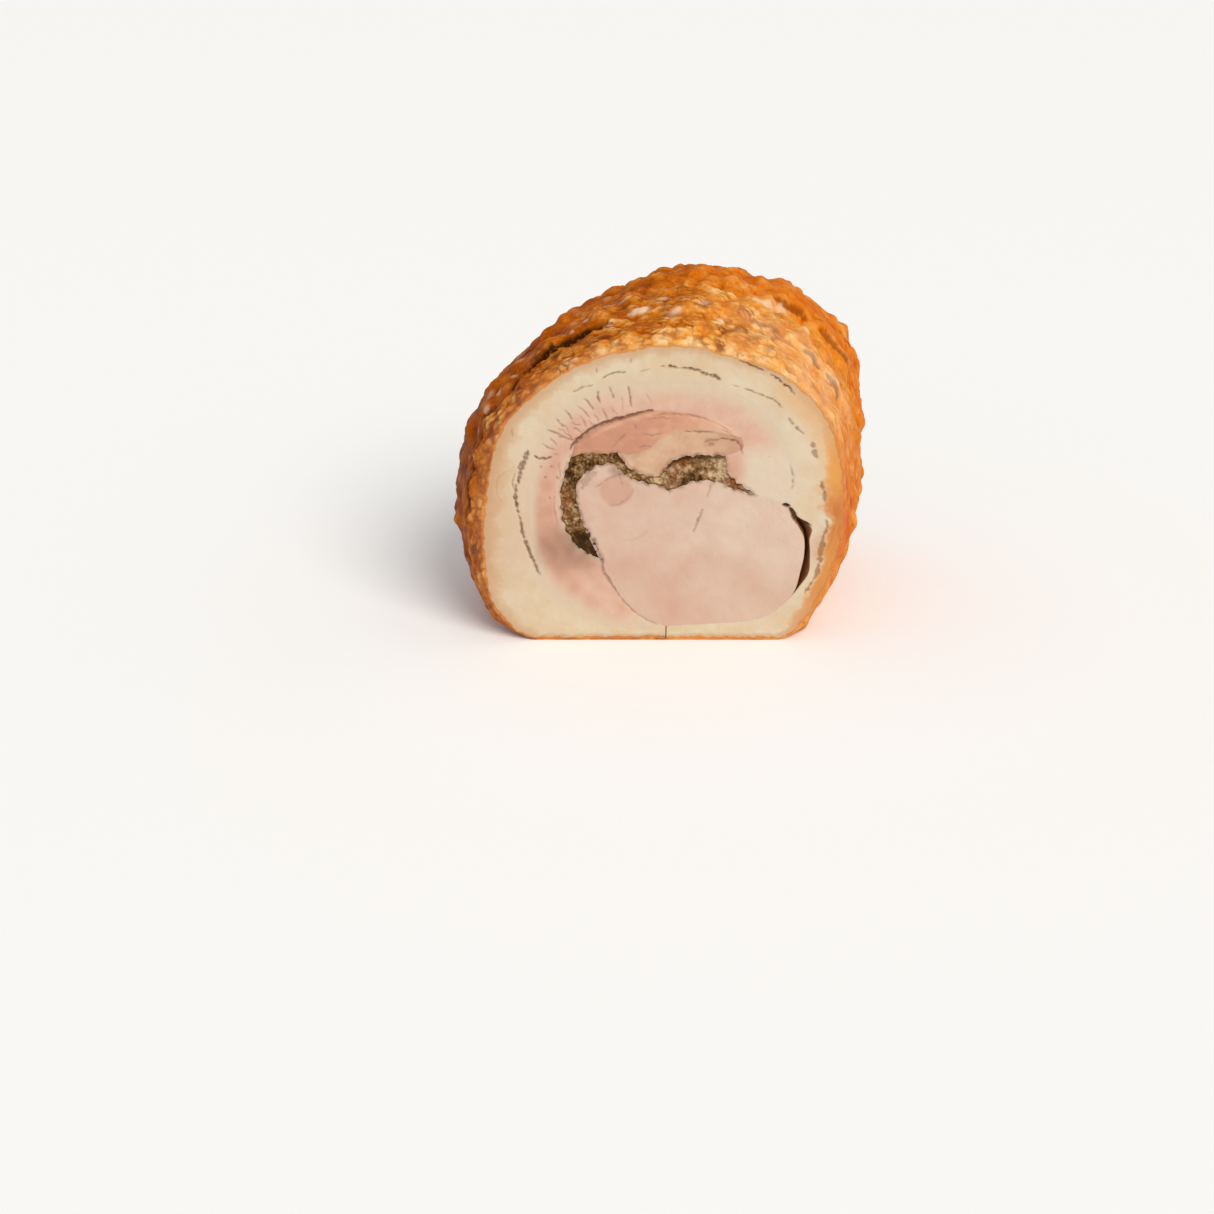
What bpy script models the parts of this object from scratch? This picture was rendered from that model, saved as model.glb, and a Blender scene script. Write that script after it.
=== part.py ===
"""Porchetta: pork belly rolled round a loin with herbs, tied, roasted and cut across.

The roll lies along Y. Its cut face looks along -Y, its roasted end along +Y, and it rests on
its flattened underside at z = 0. The origin is below the middle of its box.

Sizes are in millimetres. A place on the cut face is (across, up), measured from the middle of
the underside, and depth is the distance behind the cut face. MM turns them into metres when
the meshes are written.
"""

import math

import bmesh
import bpy
from mathutils import Vector, noise

MM = 0.001

# The roll as a whole
ROLL_LENGTH = 116.0
END_DOME = 7.0
END_REACH = 68.0
ROLL_CENTRE = (3.0, 58.0)
GAP = 0.3

# The strings that tied it left a groove every 30 mm, and the cut runs midway between two
STRING_SPACING = 30.0
FIRST_STRING = 15.0
STRING_DEPTH = 3.5

# Behind the cut the meat swells between the strings, most on the left and the upper right
SWELL = 9.5
SWELL_REACH = 12.0
SWELL_LIFT = 1.0
LEFT_SWELL = (3.10, 0.60, 7.0)
TOP_SWELL = (1.35, 0.50, 3.0)
LEFT_SHOULDER = (2.42, 0.48, -4.5)
RIGHT_SHOULDER = (0.72, 0.40, -2.0)
RIGHT_HOLLOW = (0.10, 0.45, -1.5)
LOBES = (LEFT_SWELL, TOP_SWELL, LEFT_SHOULDER, RIGHT_SHOULDER, RIGHT_HOLLOW)
REAR_SHOULDER = (0.75, 0.50, 5.0)
REAR_SHOULDER_DEPTH = 60.0
UNDERSIDE = (-1.57, 0.80, 0.50)

# The roasted end draws in, and the whole roll bends a little to the right
TAPER_START = 60.0
TAPER_REACH = 55.0
TAPER = 24.0
RIM_START = 101.0
RIM_ROUND = 4.0
BEND = 0.0018

# Blisters and ridges of the crackling
BLISTER_SIZE = 9.0
BLISTER_HEIGHT = 2.6
RIDGE_SIZE = 22.0
RIDGE_HEIGHT = 2.0
EDGE_RELIEF = 0.25

# The soft roll settles on the table: what is lower than SETTLE is flat, with a rounded edge,
# and what would hang less than PRESSED above the table touches it too
SETTLE = 5.0
PRESSED = 0.2

# The layers inside run straight between these depths
CORE_DEPTHS = (0.0, 30.0, 60.0, 90.0, 116.0)
CORE_SCALES = (1.0, 1.05, 1.06, 1.0, 0.78)
CORE_BENDS = (0.0, 1.6, 6.5, 14.0, 18.0)

# A gap has opened beside the loin at the cut: the fat has moved aside in three bulges, each
# (height of its middle, reach up and down, width). It closes a little way in.
SLOT_BULGES = ((49.5, 3.8, 4.3), (39.0, 9.0, 2.1), (29.5, 5.5, 2.6))
SLOT_TOP = 54.0
SLOT_FADE = 2.5
SLOT_REACH = 7.0

# Spacing of the points along the outlines and of the sections along the roll
SKIN_STEP = 3.7
UNDERSIDE_STEP = 12.0
LAYER_STEP = 4.0
FAT_STEP = 6.5
SKIN_SECTION = 3.33
LAST_SECTIONS = 6

# How far each layer stands out at the roasted end, and how far the herbs sink at the cut
FAT_RISE = -1.5
LEAN_RISE = 1.0
LOIN_RISE = 1.5
HERB_RISE = -2.0
HERB_SINK = 0.8

# The seam under the roll, where the two edges of the skin meet
SEAM_ACROSS = 4.0
SEAM_WIDTH = 2.4
SEAM_HEIGHT = 6.3
SEAM_LEFT = (SEAM_ACROSS - SEAM_WIDTH / 2, SEAM_HEIGHT)
SEAM_RIGHT = (SEAM_ACROSS + SEAM_WIDTH / 2, SEAM_HEIGHT)

# Places where three layers meet
LEG_FOOT = (-22.0, 35.5)
FOLD_LEFT = (-34.0, 79.0)
FOLD_MIDDLE = (-16.0, 81.0)
FOLD_RIGHT = (32.0, 87.0)
HERB_CORNER = (26.0, 79.5)
HERB_TIP = (38.0, 63.5)
SLOT_HEAD = (50.0, 60.0)

# Edge of the skin, clockwise from the right of the underside round to its left
SKIN_EDGE = [
    (50, -SETTLE), (61, 9), (71, 32), (74, 58), (67.5, 91), (50, 111), (27, 120.5), (6, 124.5),
    (-23, 120.3), (-47, 106.5), (-62.5, 88.5), (-68.5, 62), (-70, 38), (-66, 14), (-49, -SETTLE),
]

# Edges that two layers share
FAT_AND_LEAN = [
    SEAM_LEFT, (-14, 5.5), (-28, 10), (-38, 18), (-45, 27), (-49, 40), (-50.5, 55), (-49, 72),
    (-43, 90), (-34, 100), (-20, 107), (0, 109), (18, 108), (33, 103), (44, 93), (50, 80),
    (52, 69), SLOT_HEAD,
]
FAT_AND_LOIN = [
    SLOT_HEAD, (53, 56), (55, 51), (58, 45), (58.5, 38), (57.5, 31), (55, 21), (48, 13), (40, 9),
    (25, 7.3), SEAM_RIGHT,
]
LEAN_AND_LOIN_FOOT = [LEG_FOOT, (-19.5, 27), (-13, 17), (-5, 9.5), SEAM_LEFT]
LEAN_AND_LOIN_TOP = [HERB_TIP, (44, 61.5), SLOT_HEAD]
LEAN_AND_HERB = [LEG_FOOT, (-31, 41), (-36, 48), (-38, 60), (-37, 70), FOLD_LEFT]
LEAN_AND_FOLD = [
    FOLD_LEFT, (-31, 86), (-20, 93), (-10, 96.5), (-2, 98), (10, 97), (20, 95), (27, 91.5),
    FOLD_RIGHT,
]
HERB_AND_FOLD = [FOLD_LEFT, (-29, 80.5), (-22, 80.5), FOLD_MIDDLE]
FOLD_AND_FAT = [
    FOLD_MIDDLE, (-10, 80.3), (-5, 82), (0, 85.7), (6, 88.5), (12, 89.3), (20, 89.6), FOLD_RIGHT,
]
LEAN_AND_FAT = [FOLD_RIGHT, (32.5, 82.5), HERB_CORNER]
HERB_AND_FAT = [
    FOLD_MIDDLE, (-14.3, 77.5), (-10.5, 74), (-5.5, 71.6), (0.3, 71.3), (4, 76), (7, 78.3),
    (13, 79.5), HERB_CORNER,
]
LEAN_AND_HERB_TIP = [HERB_CORNER, (27, 73), (30.5, 69), HERB_TIP]
HERB_AND_LOIN = [
    LEG_FOOT, (-25, 43), (-28.7, 50), (-31.8, 60), (-31.6, 68), (-26.5, 74), (-19, 76.8),
    (-14.5, 72.8), (-8.5, 69), (-2, 67.8), (1.5, 67), (4, 65.5), (9, 66.5), (14, 69), (22, 69),
    (30, 65.7), HERB_TIP,
]


def smooth_curve(points, step=LAYER_STEP):
    """Points about every step along a smooth curve through the given ones, both ends kept."""
    points = [Vector(point) for point in points]
    before = points[0] * 2 - points[1]
    after = points[-1] * 2 - points[-2]
    guides = [before] + points + [after]
    curve = []
    for first, start, end, last in zip(guides, guides[1:], guides[2:], guides[3:]):
        pieces = max(1, round((end - start).length / step))
        for piece in range(pieces):
            t = piece / pieces
            bend = (end - first) * t
            bend += (first * 2 - start * 5 + end * 4 - last) * t ** 2
            bend += (start * 3 - first - end * 3 + last) * t ** 3
            curve.append(start + bend / 2)
    curve.append(points[-1])
    return [tuple(point) for point in curve]


def closed_outline(*curves):
    """One outline from curves that follow each other, without the doubled joints."""
    outline = []
    for curve in curves:
        for point in curve:
            if not outline or (Vector(point) - Vector(outline[-1])).length > GAP:
                outline.append(point)
    if (Vector(outline[0]) - Vector(outline[-1])).length < GAP:
        outline.pop()
    return outline


def inset(outline, distance):
    """The outline moved inwards all round, so that neighbours keep their gap."""
    turn = 0.0
    for (x0, z0), (x1, z1) in zip(outline, outline[1:] + outline[:1]):
        turn += x0 * z1 - x1 * z0
    inward = 1.0 if turn > 0 else -1.0
    moved = []
    for index, point in enumerate(outline):
        here = Vector(point)
        side_in = (here - Vector(outline[index - 1])).normalized()
        side_out = (Vector(outline[(index + 1) % len(outline)]) - here).normalized()
        normal_in = Vector((-side_in.y, side_in.x)) * inward
        normal_out = Vector((-side_out.y, side_out.x)) * inward
        middle = (normal_in + normal_out).normalized()
        spread = max(middle.dot(normal_in), 0.4)
        moved.append(tuple(here + middle * distance / spread))
    return moved


def along_core(depth, values):
    """A value of the core at a depth, straight between CORE_DEPTHS."""
    for start, end, low, high in zip(CORE_DEPTHS, CORE_DEPTHS[1:], values, values[1:]):
        if depth <= end:
            return low + (high - low) * (depth - start) / (end - start)
    return values[-1]


def lobe(angle, place, width):
    """A bump round the roll: 1 at its place, fading to 0 over its width."""
    turn = math.remainder(angle - place, 2 * math.pi)
    return math.exp(-((turn / width) ** 2))


def string_groove(depth):
    """The grooves of the strings: 1 in a groove and 0 midway between two."""
    turn = 2 * math.pi * (depth - FIRST_STRING) / STRING_SPACING
    return (0.5 + 0.5 * math.cos(turn)) ** 2


def crackling(arc, depth):
    """Height of the blisters and ridges, from a place round the skin and a depth."""
    place = Vector((arc / BLISTER_SIZE, depth / BLISTER_SIZE, 0.0))
    distances, _centres = noise.voronoi(place)
    blister = max(0.0, 1.0 - distances[0] / 0.62)
    ridge = noise.noise(Vector((arc, depth * 1.6, 40.0)) / RIDGE_SIZE)
    return BLISTER_HEIGHT * (blister - 0.35) + RIDGE_HEIGHT * ridge


def settle(height):
    """Height above the table of a point that would lie at this height if nothing held it up."""
    if height > SETTLE:
        return height
    rounded = max(0.0, height + SETTLE) ** 2 / (4.0 * SETTLE)
    return rounded if rounded > PRESSED else 0.0


def end_depth(across, up):
    """Depth of the roasted end, which is domed, behind a place on the cut face."""
    reach = Vector((across - ROLL_CENTRE[0], up - ROLL_CENTRE[1])).length
    return ROLL_LENGTH - END_DOME * min(1.0, reach / END_REACH) ** 2


def skin_place(across, up, arc, depth):
    """Where a point of the skin's edge lies at a depth behind the cut."""
    away = Vector((across - ROLL_CENTRE[0], up - ROLL_CENTRE[1]))
    angle = math.atan2(away.y, away.x)
    grown = 1.0 - math.exp(-depth / SWELL_REACH)
    taper = max(0.0, (depth - TAPER_START) / TAPER_REACH) ** 2
    rim = max(0.0, (depth - RIM_START) / (ROLL_LENGTH - END_DOME - RIM_START)) ** 2
    swell = SWELL
    for place, width, height in LOBES:
        swell += height * lobe(angle, place, width)
    place, width, height = REAR_SHOULDER
    swell += height * lobe(angle, place, width) * min(1.0, depth / REAR_SHOULDER_DEPTH)
    place, width, share = UNDERSIDE
    draw_in = TAPER * taper * (1.0 - share * lobe(angle, place, width)) + RIM_ROUND * rim
    relief = crackling(arc, depth) * (EDGE_RELIEF + (1.0 - EDGE_RELIEF) * grown)
    reach = away.length + swell * grown - draw_in + relief
    reach -= STRING_DEPTH * string_groove(depth) * grown
    x = ROLL_CENTRE[0] + reach * math.cos(angle) + BEND * depth ** 2
    z = ROLL_CENTRE[1] + reach * math.sin(angle) + SWELL_LIFT * grown
    return Vector((x, depth, settle(z)))


def core_place(across, up, depth):
    """Where a point of a layer's outline lies at a depth behind the cut."""
    scale = along_core(depth, CORE_SCALES)
    x = ROLL_CENTRE[0] + (across - ROLL_CENTRE[0]) * scale + along_core(depth, CORE_BENDS)
    z = ROLL_CENTRE[1] + (up - ROLL_CENTRE[1]) * scale
    return Vector((x, depth, z))


def slot_place(across, up, depth):
    """A point of the fat beside the loin, moved aside where the gap has opened."""
    opening = 0.0
    if across > HERB_TIP[0]:
        for middle, reach, width in SLOT_BULGES:
            opening += width * math.exp(-(((up - middle) / reach) ** 2))
    opening *= min(1.0, max(0.0, (SLOT_TOP - up) / SLOT_FADE))
    opening *= max(0.0, 1.0 - depth / SLOT_REACH)
    return core_place(across + opening, up, depth)


def extrude_along_roll(name, places, sections):
    """One solid: a face from the outline's places, extruded from section to section.

    places holds a function for each corner of the outline, which turns the number of a
    section into a point in millimetres.
    """
    shape = bmesh.new()
    corner = shape.verts.layers.int.new("corner")
    ring = []
    for index, place in enumerate(places):
        point = shape.verts.new(place(0) * MM)
        point[corner] = index
        ring.append(point)
    cap = shape.faces.new(ring)
    for section in range(1, sections):
        grown = bmesh.ops.extrude_face_region(shape, geom=[cap])
        if section > 1:
            bmesh.ops.delete(shape, geom=[cap], context="FACES_ONLY")
        cap = next(part for part in grown["geom"] if isinstance(part, bmesh.types.BMFace))
        for point in cap.verts:
            point.co = places[point[corner]](section) * MM
    bmesh.ops.recalc_face_normals(shape, faces=shape.faces)
    mesh = bpy.data.meshes.new(name)
    shape.to_mesh(mesh)
    shape.free()
    return bpy.data.objects.new(name, mesh)


def layer(name, outline, front, rise):
    """A layer inside the roll, from the cut face to the roasted end."""
    inner_depths = CORE_DEPTHS[1:-1]

    def corner(across, up):
        depths = (front, *inner_depths, end_depth(across, up) + rise)
        return lambda section: core_place(across, up, depths[section])

    places = [corner(across, up) for across, up in inset(outline, GAP / 2)]
    return extrude_along_roll(name, places, len(inner_depths) + 2)


def section_depths(last):
    """Depths of the skin's sections, even down to the last full core depth and then finer."""
    straight = CORE_DEPTHS[-2]
    even = round(straight / SKIN_SECTION)
    depths = [straight * index / even for index in range(even)]
    for index in range(LAST_SECTIONS + 1):
        depths.append(straight + (last - straight) * index / LAST_SECTIONS)
    return depths


def make_fat_cap():
    """Rind and fat: an open ring round the roll, with its seam underneath."""
    skin = smooth_curve([(SEAM_RIGHT[0], -SETTLE), SKIN_EDGE[0]], UNDERSIDE_STEP)[:-1]
    skin += smooth_curve(SKIN_EDGE, SKIN_STEP)
    skin += smooth_curve([SKIN_EDGE[-1], (SEAM_LEFT[0], -SETTLE)], UNDERSIDE_STEP)[1:]
    inner = closed_outline(
        smooth_curve(FAT_AND_LEAN, FAT_STEP), smooth_curve(FAT_AND_LOIN, FAT_STEP)
    )
    ring = inset(inner, -GAP / 2)
    places = []
    arc = 0.0
    for index, (across, up) in enumerate(skin):
        if index:
            arc += (Vector(skin[index]) - Vector(skin[index - 1])).length
        depths = section_depths(end_depth(across, up))
        places.append(
            lambda section, a=across, u=up, s=arc, d=depths: skin_place(a, u, s, d[section])
        )
    for across, up in ring:
        depths = section_depths(end_depth(across, up) + FAT_RISE)
        places.append(lambda section, a=across, u=up, d=depths: slot_place(a, u, d[section]))
    return extrude_along_roll("fat_cap", places, len(depths))


def make_belly_lean():
    """The lean of the belly, a band that runs most of the way round."""
    outline = closed_outline(
        smooth_curve(FAT_AND_LEAN, FAT_STEP),
        reversed(smooth_curve(LEAN_AND_LOIN_TOP)),
        reversed(smooth_curve(LEAN_AND_HERB_TIP)),
        reversed(smooth_curve(LEAN_AND_FAT)),
        reversed(smooth_curve(LEAN_AND_FOLD)),
        reversed(smooth_curve(LEAN_AND_HERB)),
        smooth_curve(LEAN_AND_LOIN_FOOT),
    )
    return layer("belly_lean", outline, 0.0, LEAN_RISE)


def make_pink_fold():
    """A darker strip of lean folded in above the herbs."""
    outline = closed_outline(
        smooth_curve(LEAN_AND_FOLD),
        reversed(smooth_curve(FOLD_AND_FAT)),
        reversed(smooth_curve(HERB_AND_FOLD)),
    )
    return layer("pink_fold", outline, 0.0, LEAN_RISE)


def make_inner_fat():
    """A pocket of fat between the folded strip and the herbs."""
    outline = closed_outline(
        smooth_curve(FOLD_AND_FAT),
        smooth_curve(LEAN_AND_FAT),
        reversed(smooth_curve(HERB_AND_FAT)),
    )
    return layer("inner_fat", outline, 0.0, FAT_RISE)


def make_herb_filling():
    """The chopped herbs, a leg and a hooked mass over the loin."""
    outline = closed_outline(
        smooth_curve(LEAN_AND_HERB),
        smooth_curve(HERB_AND_FOLD),
        smooth_curve(HERB_AND_FAT),
        smooth_curve(LEAN_AND_HERB_TIP),
        reversed(smooth_curve(HERB_AND_LOIN)),
    )
    return layer("herb_filling", outline, HERB_SINK, HERB_RISE)


def make_loin():
    """The loin, the pale heart of the roll."""
    outline = closed_outline(
        smooth_curve(HERB_AND_LOIN),
        smooth_curve(LEAN_AND_LOIN_TOP),
        smooth_curve(FAT_AND_LOIN, FAT_STEP),
        reversed(smooth_curve(LEAN_AND_LOIN_FOOT)),
    )
    return layer("loin", outline, 0.0, LOIN_RISE)


def food_material(name, colour, roughness):
    """A plain surface of one food: no metal in it, and a little gloss where it is greasy."""
    material = bpy.data.materials.new(name)
    material.use_nodes = True
    surface = material.node_tree.nodes["Principled BSDF"]
    surface.inputs["Base Color"].default_value = (*colour, 1.0)
    surface.inputs["Roughness"].default_value = roughness
    surface.inputs["Metallic"].default_value = 0.0
    material.diffuse_color = (*colour, 1.0)
    return material


def centre_on_underside(pieces):
    """Move all pieces together so that the origin lies below the middle of their box."""
    points = [point.co for piece in pieces for point in piece.data.vertices]
    middle_x = (min(p.x for p in points) + max(p.x for p in points)) / 2
    middle_y = (min(p.y for p in points) + max(p.y for p in points)) / 2
    offset = Vector((-middle_x, -middle_y, 0.0))
    for piece in pieces:
        for point in piece.data.vertices:
            point.co += offset


def build_porchetta():
    """Clear the scene and make every layer in one collection."""
    for thing in list(bpy.data.objects):
        bpy.data.objects.remove(thing, do_unlink=True)
    collection = bpy.data.collections.new("porchetta")
    bpy.context.scene.collection.children.link(collection)
    pieces = [
        (make_fat_cap(), food_material("crackling", (0.45, 0.17, 0.035), 0.38)),
        (make_belly_lean(), food_material("belly_lean", (0.72, 0.45, 0.36), 0.50)),
        (make_pink_fold(), food_material("pink_fold", (0.60, 0.31, 0.23), 0.45)),
        (make_inner_fat(), food_material("inner_fat", (0.74, 0.56, 0.38), 0.45)),
        (make_herb_filling(), food_material("herb_filling", (0.16, 0.13, 0.06), 0.75)),
        (make_loin(), food_material("loin", (0.74, 0.53, 0.42), 0.50)),
    ]
    for piece, material in pieces:
        piece.data.materials.append(material)
        piece.data.shade_smooth()
        piece.data.set_sharp_from_angle(angle=math.radians(40.0))
        collection.objects.link(piece)
    centre_on_underside([piece for piece, material in pieces])


build_porchetta()
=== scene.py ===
# %% [markdown]
# # A porchetta, cut across
#
# A porchetta is pork belly rolled round a loin with chopped herbs, tied with string and roasted
# until its rind blisters into crackling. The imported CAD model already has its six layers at
# their real sizes. It comes in as a fixed frame, and every layer gets a finely modelled piece
# of its own that stands in the same place. The box of the CAD model is kept from the start, so
# that the finished piece can be compared with it at the end.

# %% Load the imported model
import math

import bmesh
import bpy
import numpy as np
from mathutils import Matrix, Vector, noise


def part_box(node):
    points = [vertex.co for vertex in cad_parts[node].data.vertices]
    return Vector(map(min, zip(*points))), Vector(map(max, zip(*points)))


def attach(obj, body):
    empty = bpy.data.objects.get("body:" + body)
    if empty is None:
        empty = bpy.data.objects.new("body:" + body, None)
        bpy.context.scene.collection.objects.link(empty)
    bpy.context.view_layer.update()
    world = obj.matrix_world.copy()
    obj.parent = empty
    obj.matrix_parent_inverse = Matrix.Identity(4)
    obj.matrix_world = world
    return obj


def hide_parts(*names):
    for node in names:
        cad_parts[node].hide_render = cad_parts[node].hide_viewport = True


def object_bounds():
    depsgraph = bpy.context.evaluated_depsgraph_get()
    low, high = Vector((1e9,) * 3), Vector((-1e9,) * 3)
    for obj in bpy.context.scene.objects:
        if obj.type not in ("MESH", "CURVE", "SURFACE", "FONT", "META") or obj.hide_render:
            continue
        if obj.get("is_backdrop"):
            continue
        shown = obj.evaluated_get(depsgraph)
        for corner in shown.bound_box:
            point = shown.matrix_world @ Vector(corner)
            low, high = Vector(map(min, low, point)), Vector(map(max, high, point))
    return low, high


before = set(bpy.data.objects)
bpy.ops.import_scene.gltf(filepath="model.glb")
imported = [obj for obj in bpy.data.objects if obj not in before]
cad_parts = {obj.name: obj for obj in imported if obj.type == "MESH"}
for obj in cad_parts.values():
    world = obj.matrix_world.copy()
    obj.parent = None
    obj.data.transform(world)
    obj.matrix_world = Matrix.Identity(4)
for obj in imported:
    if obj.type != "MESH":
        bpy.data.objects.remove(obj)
cad_low, cad_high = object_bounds()
MM = 0.001
print("CAD box in mm:", [round(side / MM, 1) for side in cad_high - cad_low])

# %% [markdown]
# ## The sizes that drive the shape
#
# A roast has no straight edge to measure from, so every place is given as a cook would point
# at it: (across, up) on the cut face, from the middle of the underside, and the depth behind
# the cut. All of them are in millimetres, and these values are the ones that the CAD model was
# made from. The roll swells behind the cut, each string has left a groove in it, and it draws
# in towards the roasted end.

# %% Driving sizes
ROLL_LENGTH = 116.0
END_DOME = 7.0
END_REACH = 68.0
ROLL_CENTRE = (3.0, 58.0)
GAP = 0.3
SETTLE = 5.0
PRESSED = 0.2

STRING_SPACING = 30.0
FIRST_STRING = 15.0
STRING_DEPTH = 3.5

SWELL = 9.5
SWELL_REACH = 12.0
SWELL_LIFT = 1.0
LEFT_SWELL = (3.10, 0.60, 7.0)
TOP_SWELL = (1.35, 0.50, 3.0)
LEFT_SHOULDER = (2.42, 0.48, -4.5)
RIGHT_SHOULDER = (0.72, 0.40, -2.0)
RIGHT_HOLLOW = (0.10, 0.45, -1.5)
LOBES = (LEFT_SWELL, TOP_SWELL, LEFT_SHOULDER, RIGHT_SHOULDER, RIGHT_HOLLOW)
REAR_SHOULDER = (0.75, 0.50, 5.0)
REAR_SHOULDER_DEPTH = 60.0
UNDERSIDE = (-1.57, 0.80, 0.50)
TAPER_START = 60.0
TAPER_REACH = 55.0
TAPER = 24.0
RIM_START = 101.0
RIM_ROUND = 4.0
BEND = 0.0018

CORE_DEPTHS = (0.0, 30.0, 60.0, 90.0, 116.0)
CORE_SCALES = (1.0, 1.05, 1.06, 1.0, 0.78)
CORE_BENDS = (0.0, 1.6, 6.5, 14.0, 18.0)
END_PRESS = (2.3, 0.45, 0.11)
END_PRESS_DEPTHS = (101.0, 113.0)

# The gap beside the loin, as bulges: (height of its middle, reach up and down, width)
SLOT_BULGES = ((49.5, 3.8, 4.3), (39.0, 9.0, 2.1), (29.5, 5.5, 2.6))
SLOT_TOP = 54.0
SLOT_FADE = 2.5
SLOT_REACH = 7.0

# %% [markdown]
# ## The lines on the cut face
#
# On the cut, each layer meets its neighbours along a line. A line is written once, as the few
# points that its shape needs, with a smooth curve through them. Both neighbours are made from
# the same curve, so they meet without a gap. Meat that was cut with a knife has clean edges,
# but chopped herbs don't, so their lines wander by about a millimetre.

# %% A smooth curve through a few points
def smooth_path(points, spacing=0.5):
    """Points about every spacing millimetres along a smooth curve through the given ones."""
    points = np.array(points, float)
    guides = np.vstack([2 * points[:1] - points[1:2], points, 2 * points[-1:] - points[-2:-1]])
    curve = []
    for first, start, end, last in zip(guides, guides[1:], guides[2:], guides[3:]):
        pieces = max(1, round(np.linalg.norm(end - start) / spacing))
        t = np.arange(pieces)[:, None] / pieces
        bend = (end - first) * t + (first * 2 - start * 5 + end * 4 - last) * t ** 2
        bend += (start * 3 - first - end * 3 + last) * t ** 3
        curve.append(start + bend / 2)
    return np.vstack(curve + [points[-1:]])


def lengths_along(path):
    """Distance of each point of a path from its start, measured along the path."""
    steps = np.linalg.norm(np.diff(path, axis=0), axis=1)
    return np.concatenate([[0.0], np.cumsum(steps)])


def places_on(path, shares):
    """Places at these shares of a path's length."""
    along = lengths_along(path)
    wanted = np.asarray(shares) * along[-1]
    return np.stack([np.interp(wanted, along, path[:, axis]) for axis in (0, 1)], axis=-1)


def clouds(x, y, size, layer=0.0):
    """Soft noise, mostly between -0.7 and 0.7, with lumps of about this size in millimetres."""
    return np.array([noise.noise((a, b, layer)) for a, b in zip(x / size, y / size)])


def layered_clouds(x, y, waves):
    """Clouds of several sizes added up. Each wave is (height, size in millimetres, layer)."""
    return sum(height * clouds(x, y, size, layer) for height, size, layer in waves)


def ragged(path, height, size):
    """A torn edge: the path wanders to either side by about this height, but its ends stay."""
    along = lengths_along(path)
    ahead = np.gradient(path, axis=0)
    side = np.stack([-ahead[:, 1], ahead[:, 0]], axis=1)
    side /= np.linalg.norm(side, axis=1, keepdims=True)
    loose = np.clip(np.minimum(along, along[-1] - along) / size, 0.0, 1.0)
    wander = layered_clouds(*path.T, ((1.0, size, 5.0), (0.6, size / 2.3, 9.0)))
    return path + side * (height * wander * loose)[:, None]


# %% Where the layers meet
SEAM_LEFT = (3.8, 6.3)
SEAM_RIGHT = (4.2, 6.3)
LEG_FOOT = (-22.0, 35.5)
FOLD_LEFT = (-34.0, 79.0)
FOLD_MIDDLE = (-16.0, 81.0)
FOLD_RIGHT = (32.0, 87.0)
HERB_CORNER = (26.0, 79.5)
HERB_TIP = (38.0, 63.5)
SLOT_HEAD = (50.0, 60.0)

SKIN_EDGE = [
    (50, -SETTLE), (61, 9), (71, 32), (74, 58), (67.5, 91), (50, 111), (27, 120.5), (6, 124.5),
    (-23, 120.3), (-47, 106.5), (-62.5, 88.5), (-68.5, 62), (-70, 38), (-66, 14), (-49, -SETTLE),
]
FAT_AND_LEAN = smooth_path([
    SEAM_LEFT, (-14, 5.5), (-28, 10), (-38, 18), (-45, 27), (-49, 40), (-50.5, 55), (-49, 72),
    (-43, 90), (-34, 100), (-20, 107), (0, 109), (18, 108), (33, 103), (44, 93), (50, 80),
    (52, 69), SLOT_HEAD,
])
FAT_AND_LOIN = smooth_path([
    SLOT_HEAD, (53, 56), (55, 51), (58, 45), (58.5, 38), (57.5, 31), (55, 21), (48, 13), (40, 9),
    (25, 7.3), SEAM_RIGHT,
])
LEAN_AND_LOIN_FOOT = smooth_path([LEG_FOOT, (-19.5, 27), (-13, 17), (-5, 9.5), SEAM_LEFT])
LEAN_AND_LOIN_TOP = smooth_path([HERB_TIP, (44, 61.5), SLOT_HEAD])
LEAN_AND_FOLD = smooth_path([
    FOLD_LEFT, (-31, 86), (-20, 93), (-10, 96.5), (-2, 98), (10, 97), (20, 95), (27, 91.5),
    FOLD_RIGHT,
])
FOLD_AND_FAT = ragged(smooth_path([
    FOLD_MIDDLE, (-10, 80.3), (-5, 82), (0, 85.7), (6, 88.5), (12, 89.3), (20, 89.6), FOLD_RIGHT,
]), 0.8, 5.0)
LEAN_AND_FAT = smooth_path([FOLD_RIGHT, (32.5, 82.5), HERB_CORNER])

# The herbs' own edges are torn
TORN = 0.9
TEAR_SIZE = 2.6
HERB_LINES = {
    "lean": [LEG_FOOT, (-31, 41), (-36, 48), (-38, 60), (-37, 70), FOLD_LEFT],
    "fold": [FOLD_LEFT, (-29, 80.5), (-22, 80.5), FOLD_MIDDLE],
    "fat": [
        FOLD_MIDDLE, (-14.3, 77.5), (-10.5, 74), (-5.5, 71.6), (0.3, 71.3), (4, 76), (7, 78.3),
        (13, 79.5), HERB_CORNER,
    ],
    "tip": [HERB_CORNER, (27, 73), (30.5, 69), HERB_TIP],
    "loin": [
        LEG_FOOT, (-25, 43), (-28.7, 50), (-31.8, 60), (-31.6, 68), (-26.5, 74), (-19, 76.8),
        (-14.5, 72.8), (-8.5, 69), (-2, 67.8), (1.5, 67), (4, 65.5), (9, 66.5), (14, 69),
        (22, 69), (30, 65.7), HERB_TIP,
    ],
}
HERB_EDGES = {name: ragged(smooth_path(line), TORN, TEAR_SIZE) for name, line in HERB_LINES.items()}

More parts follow.
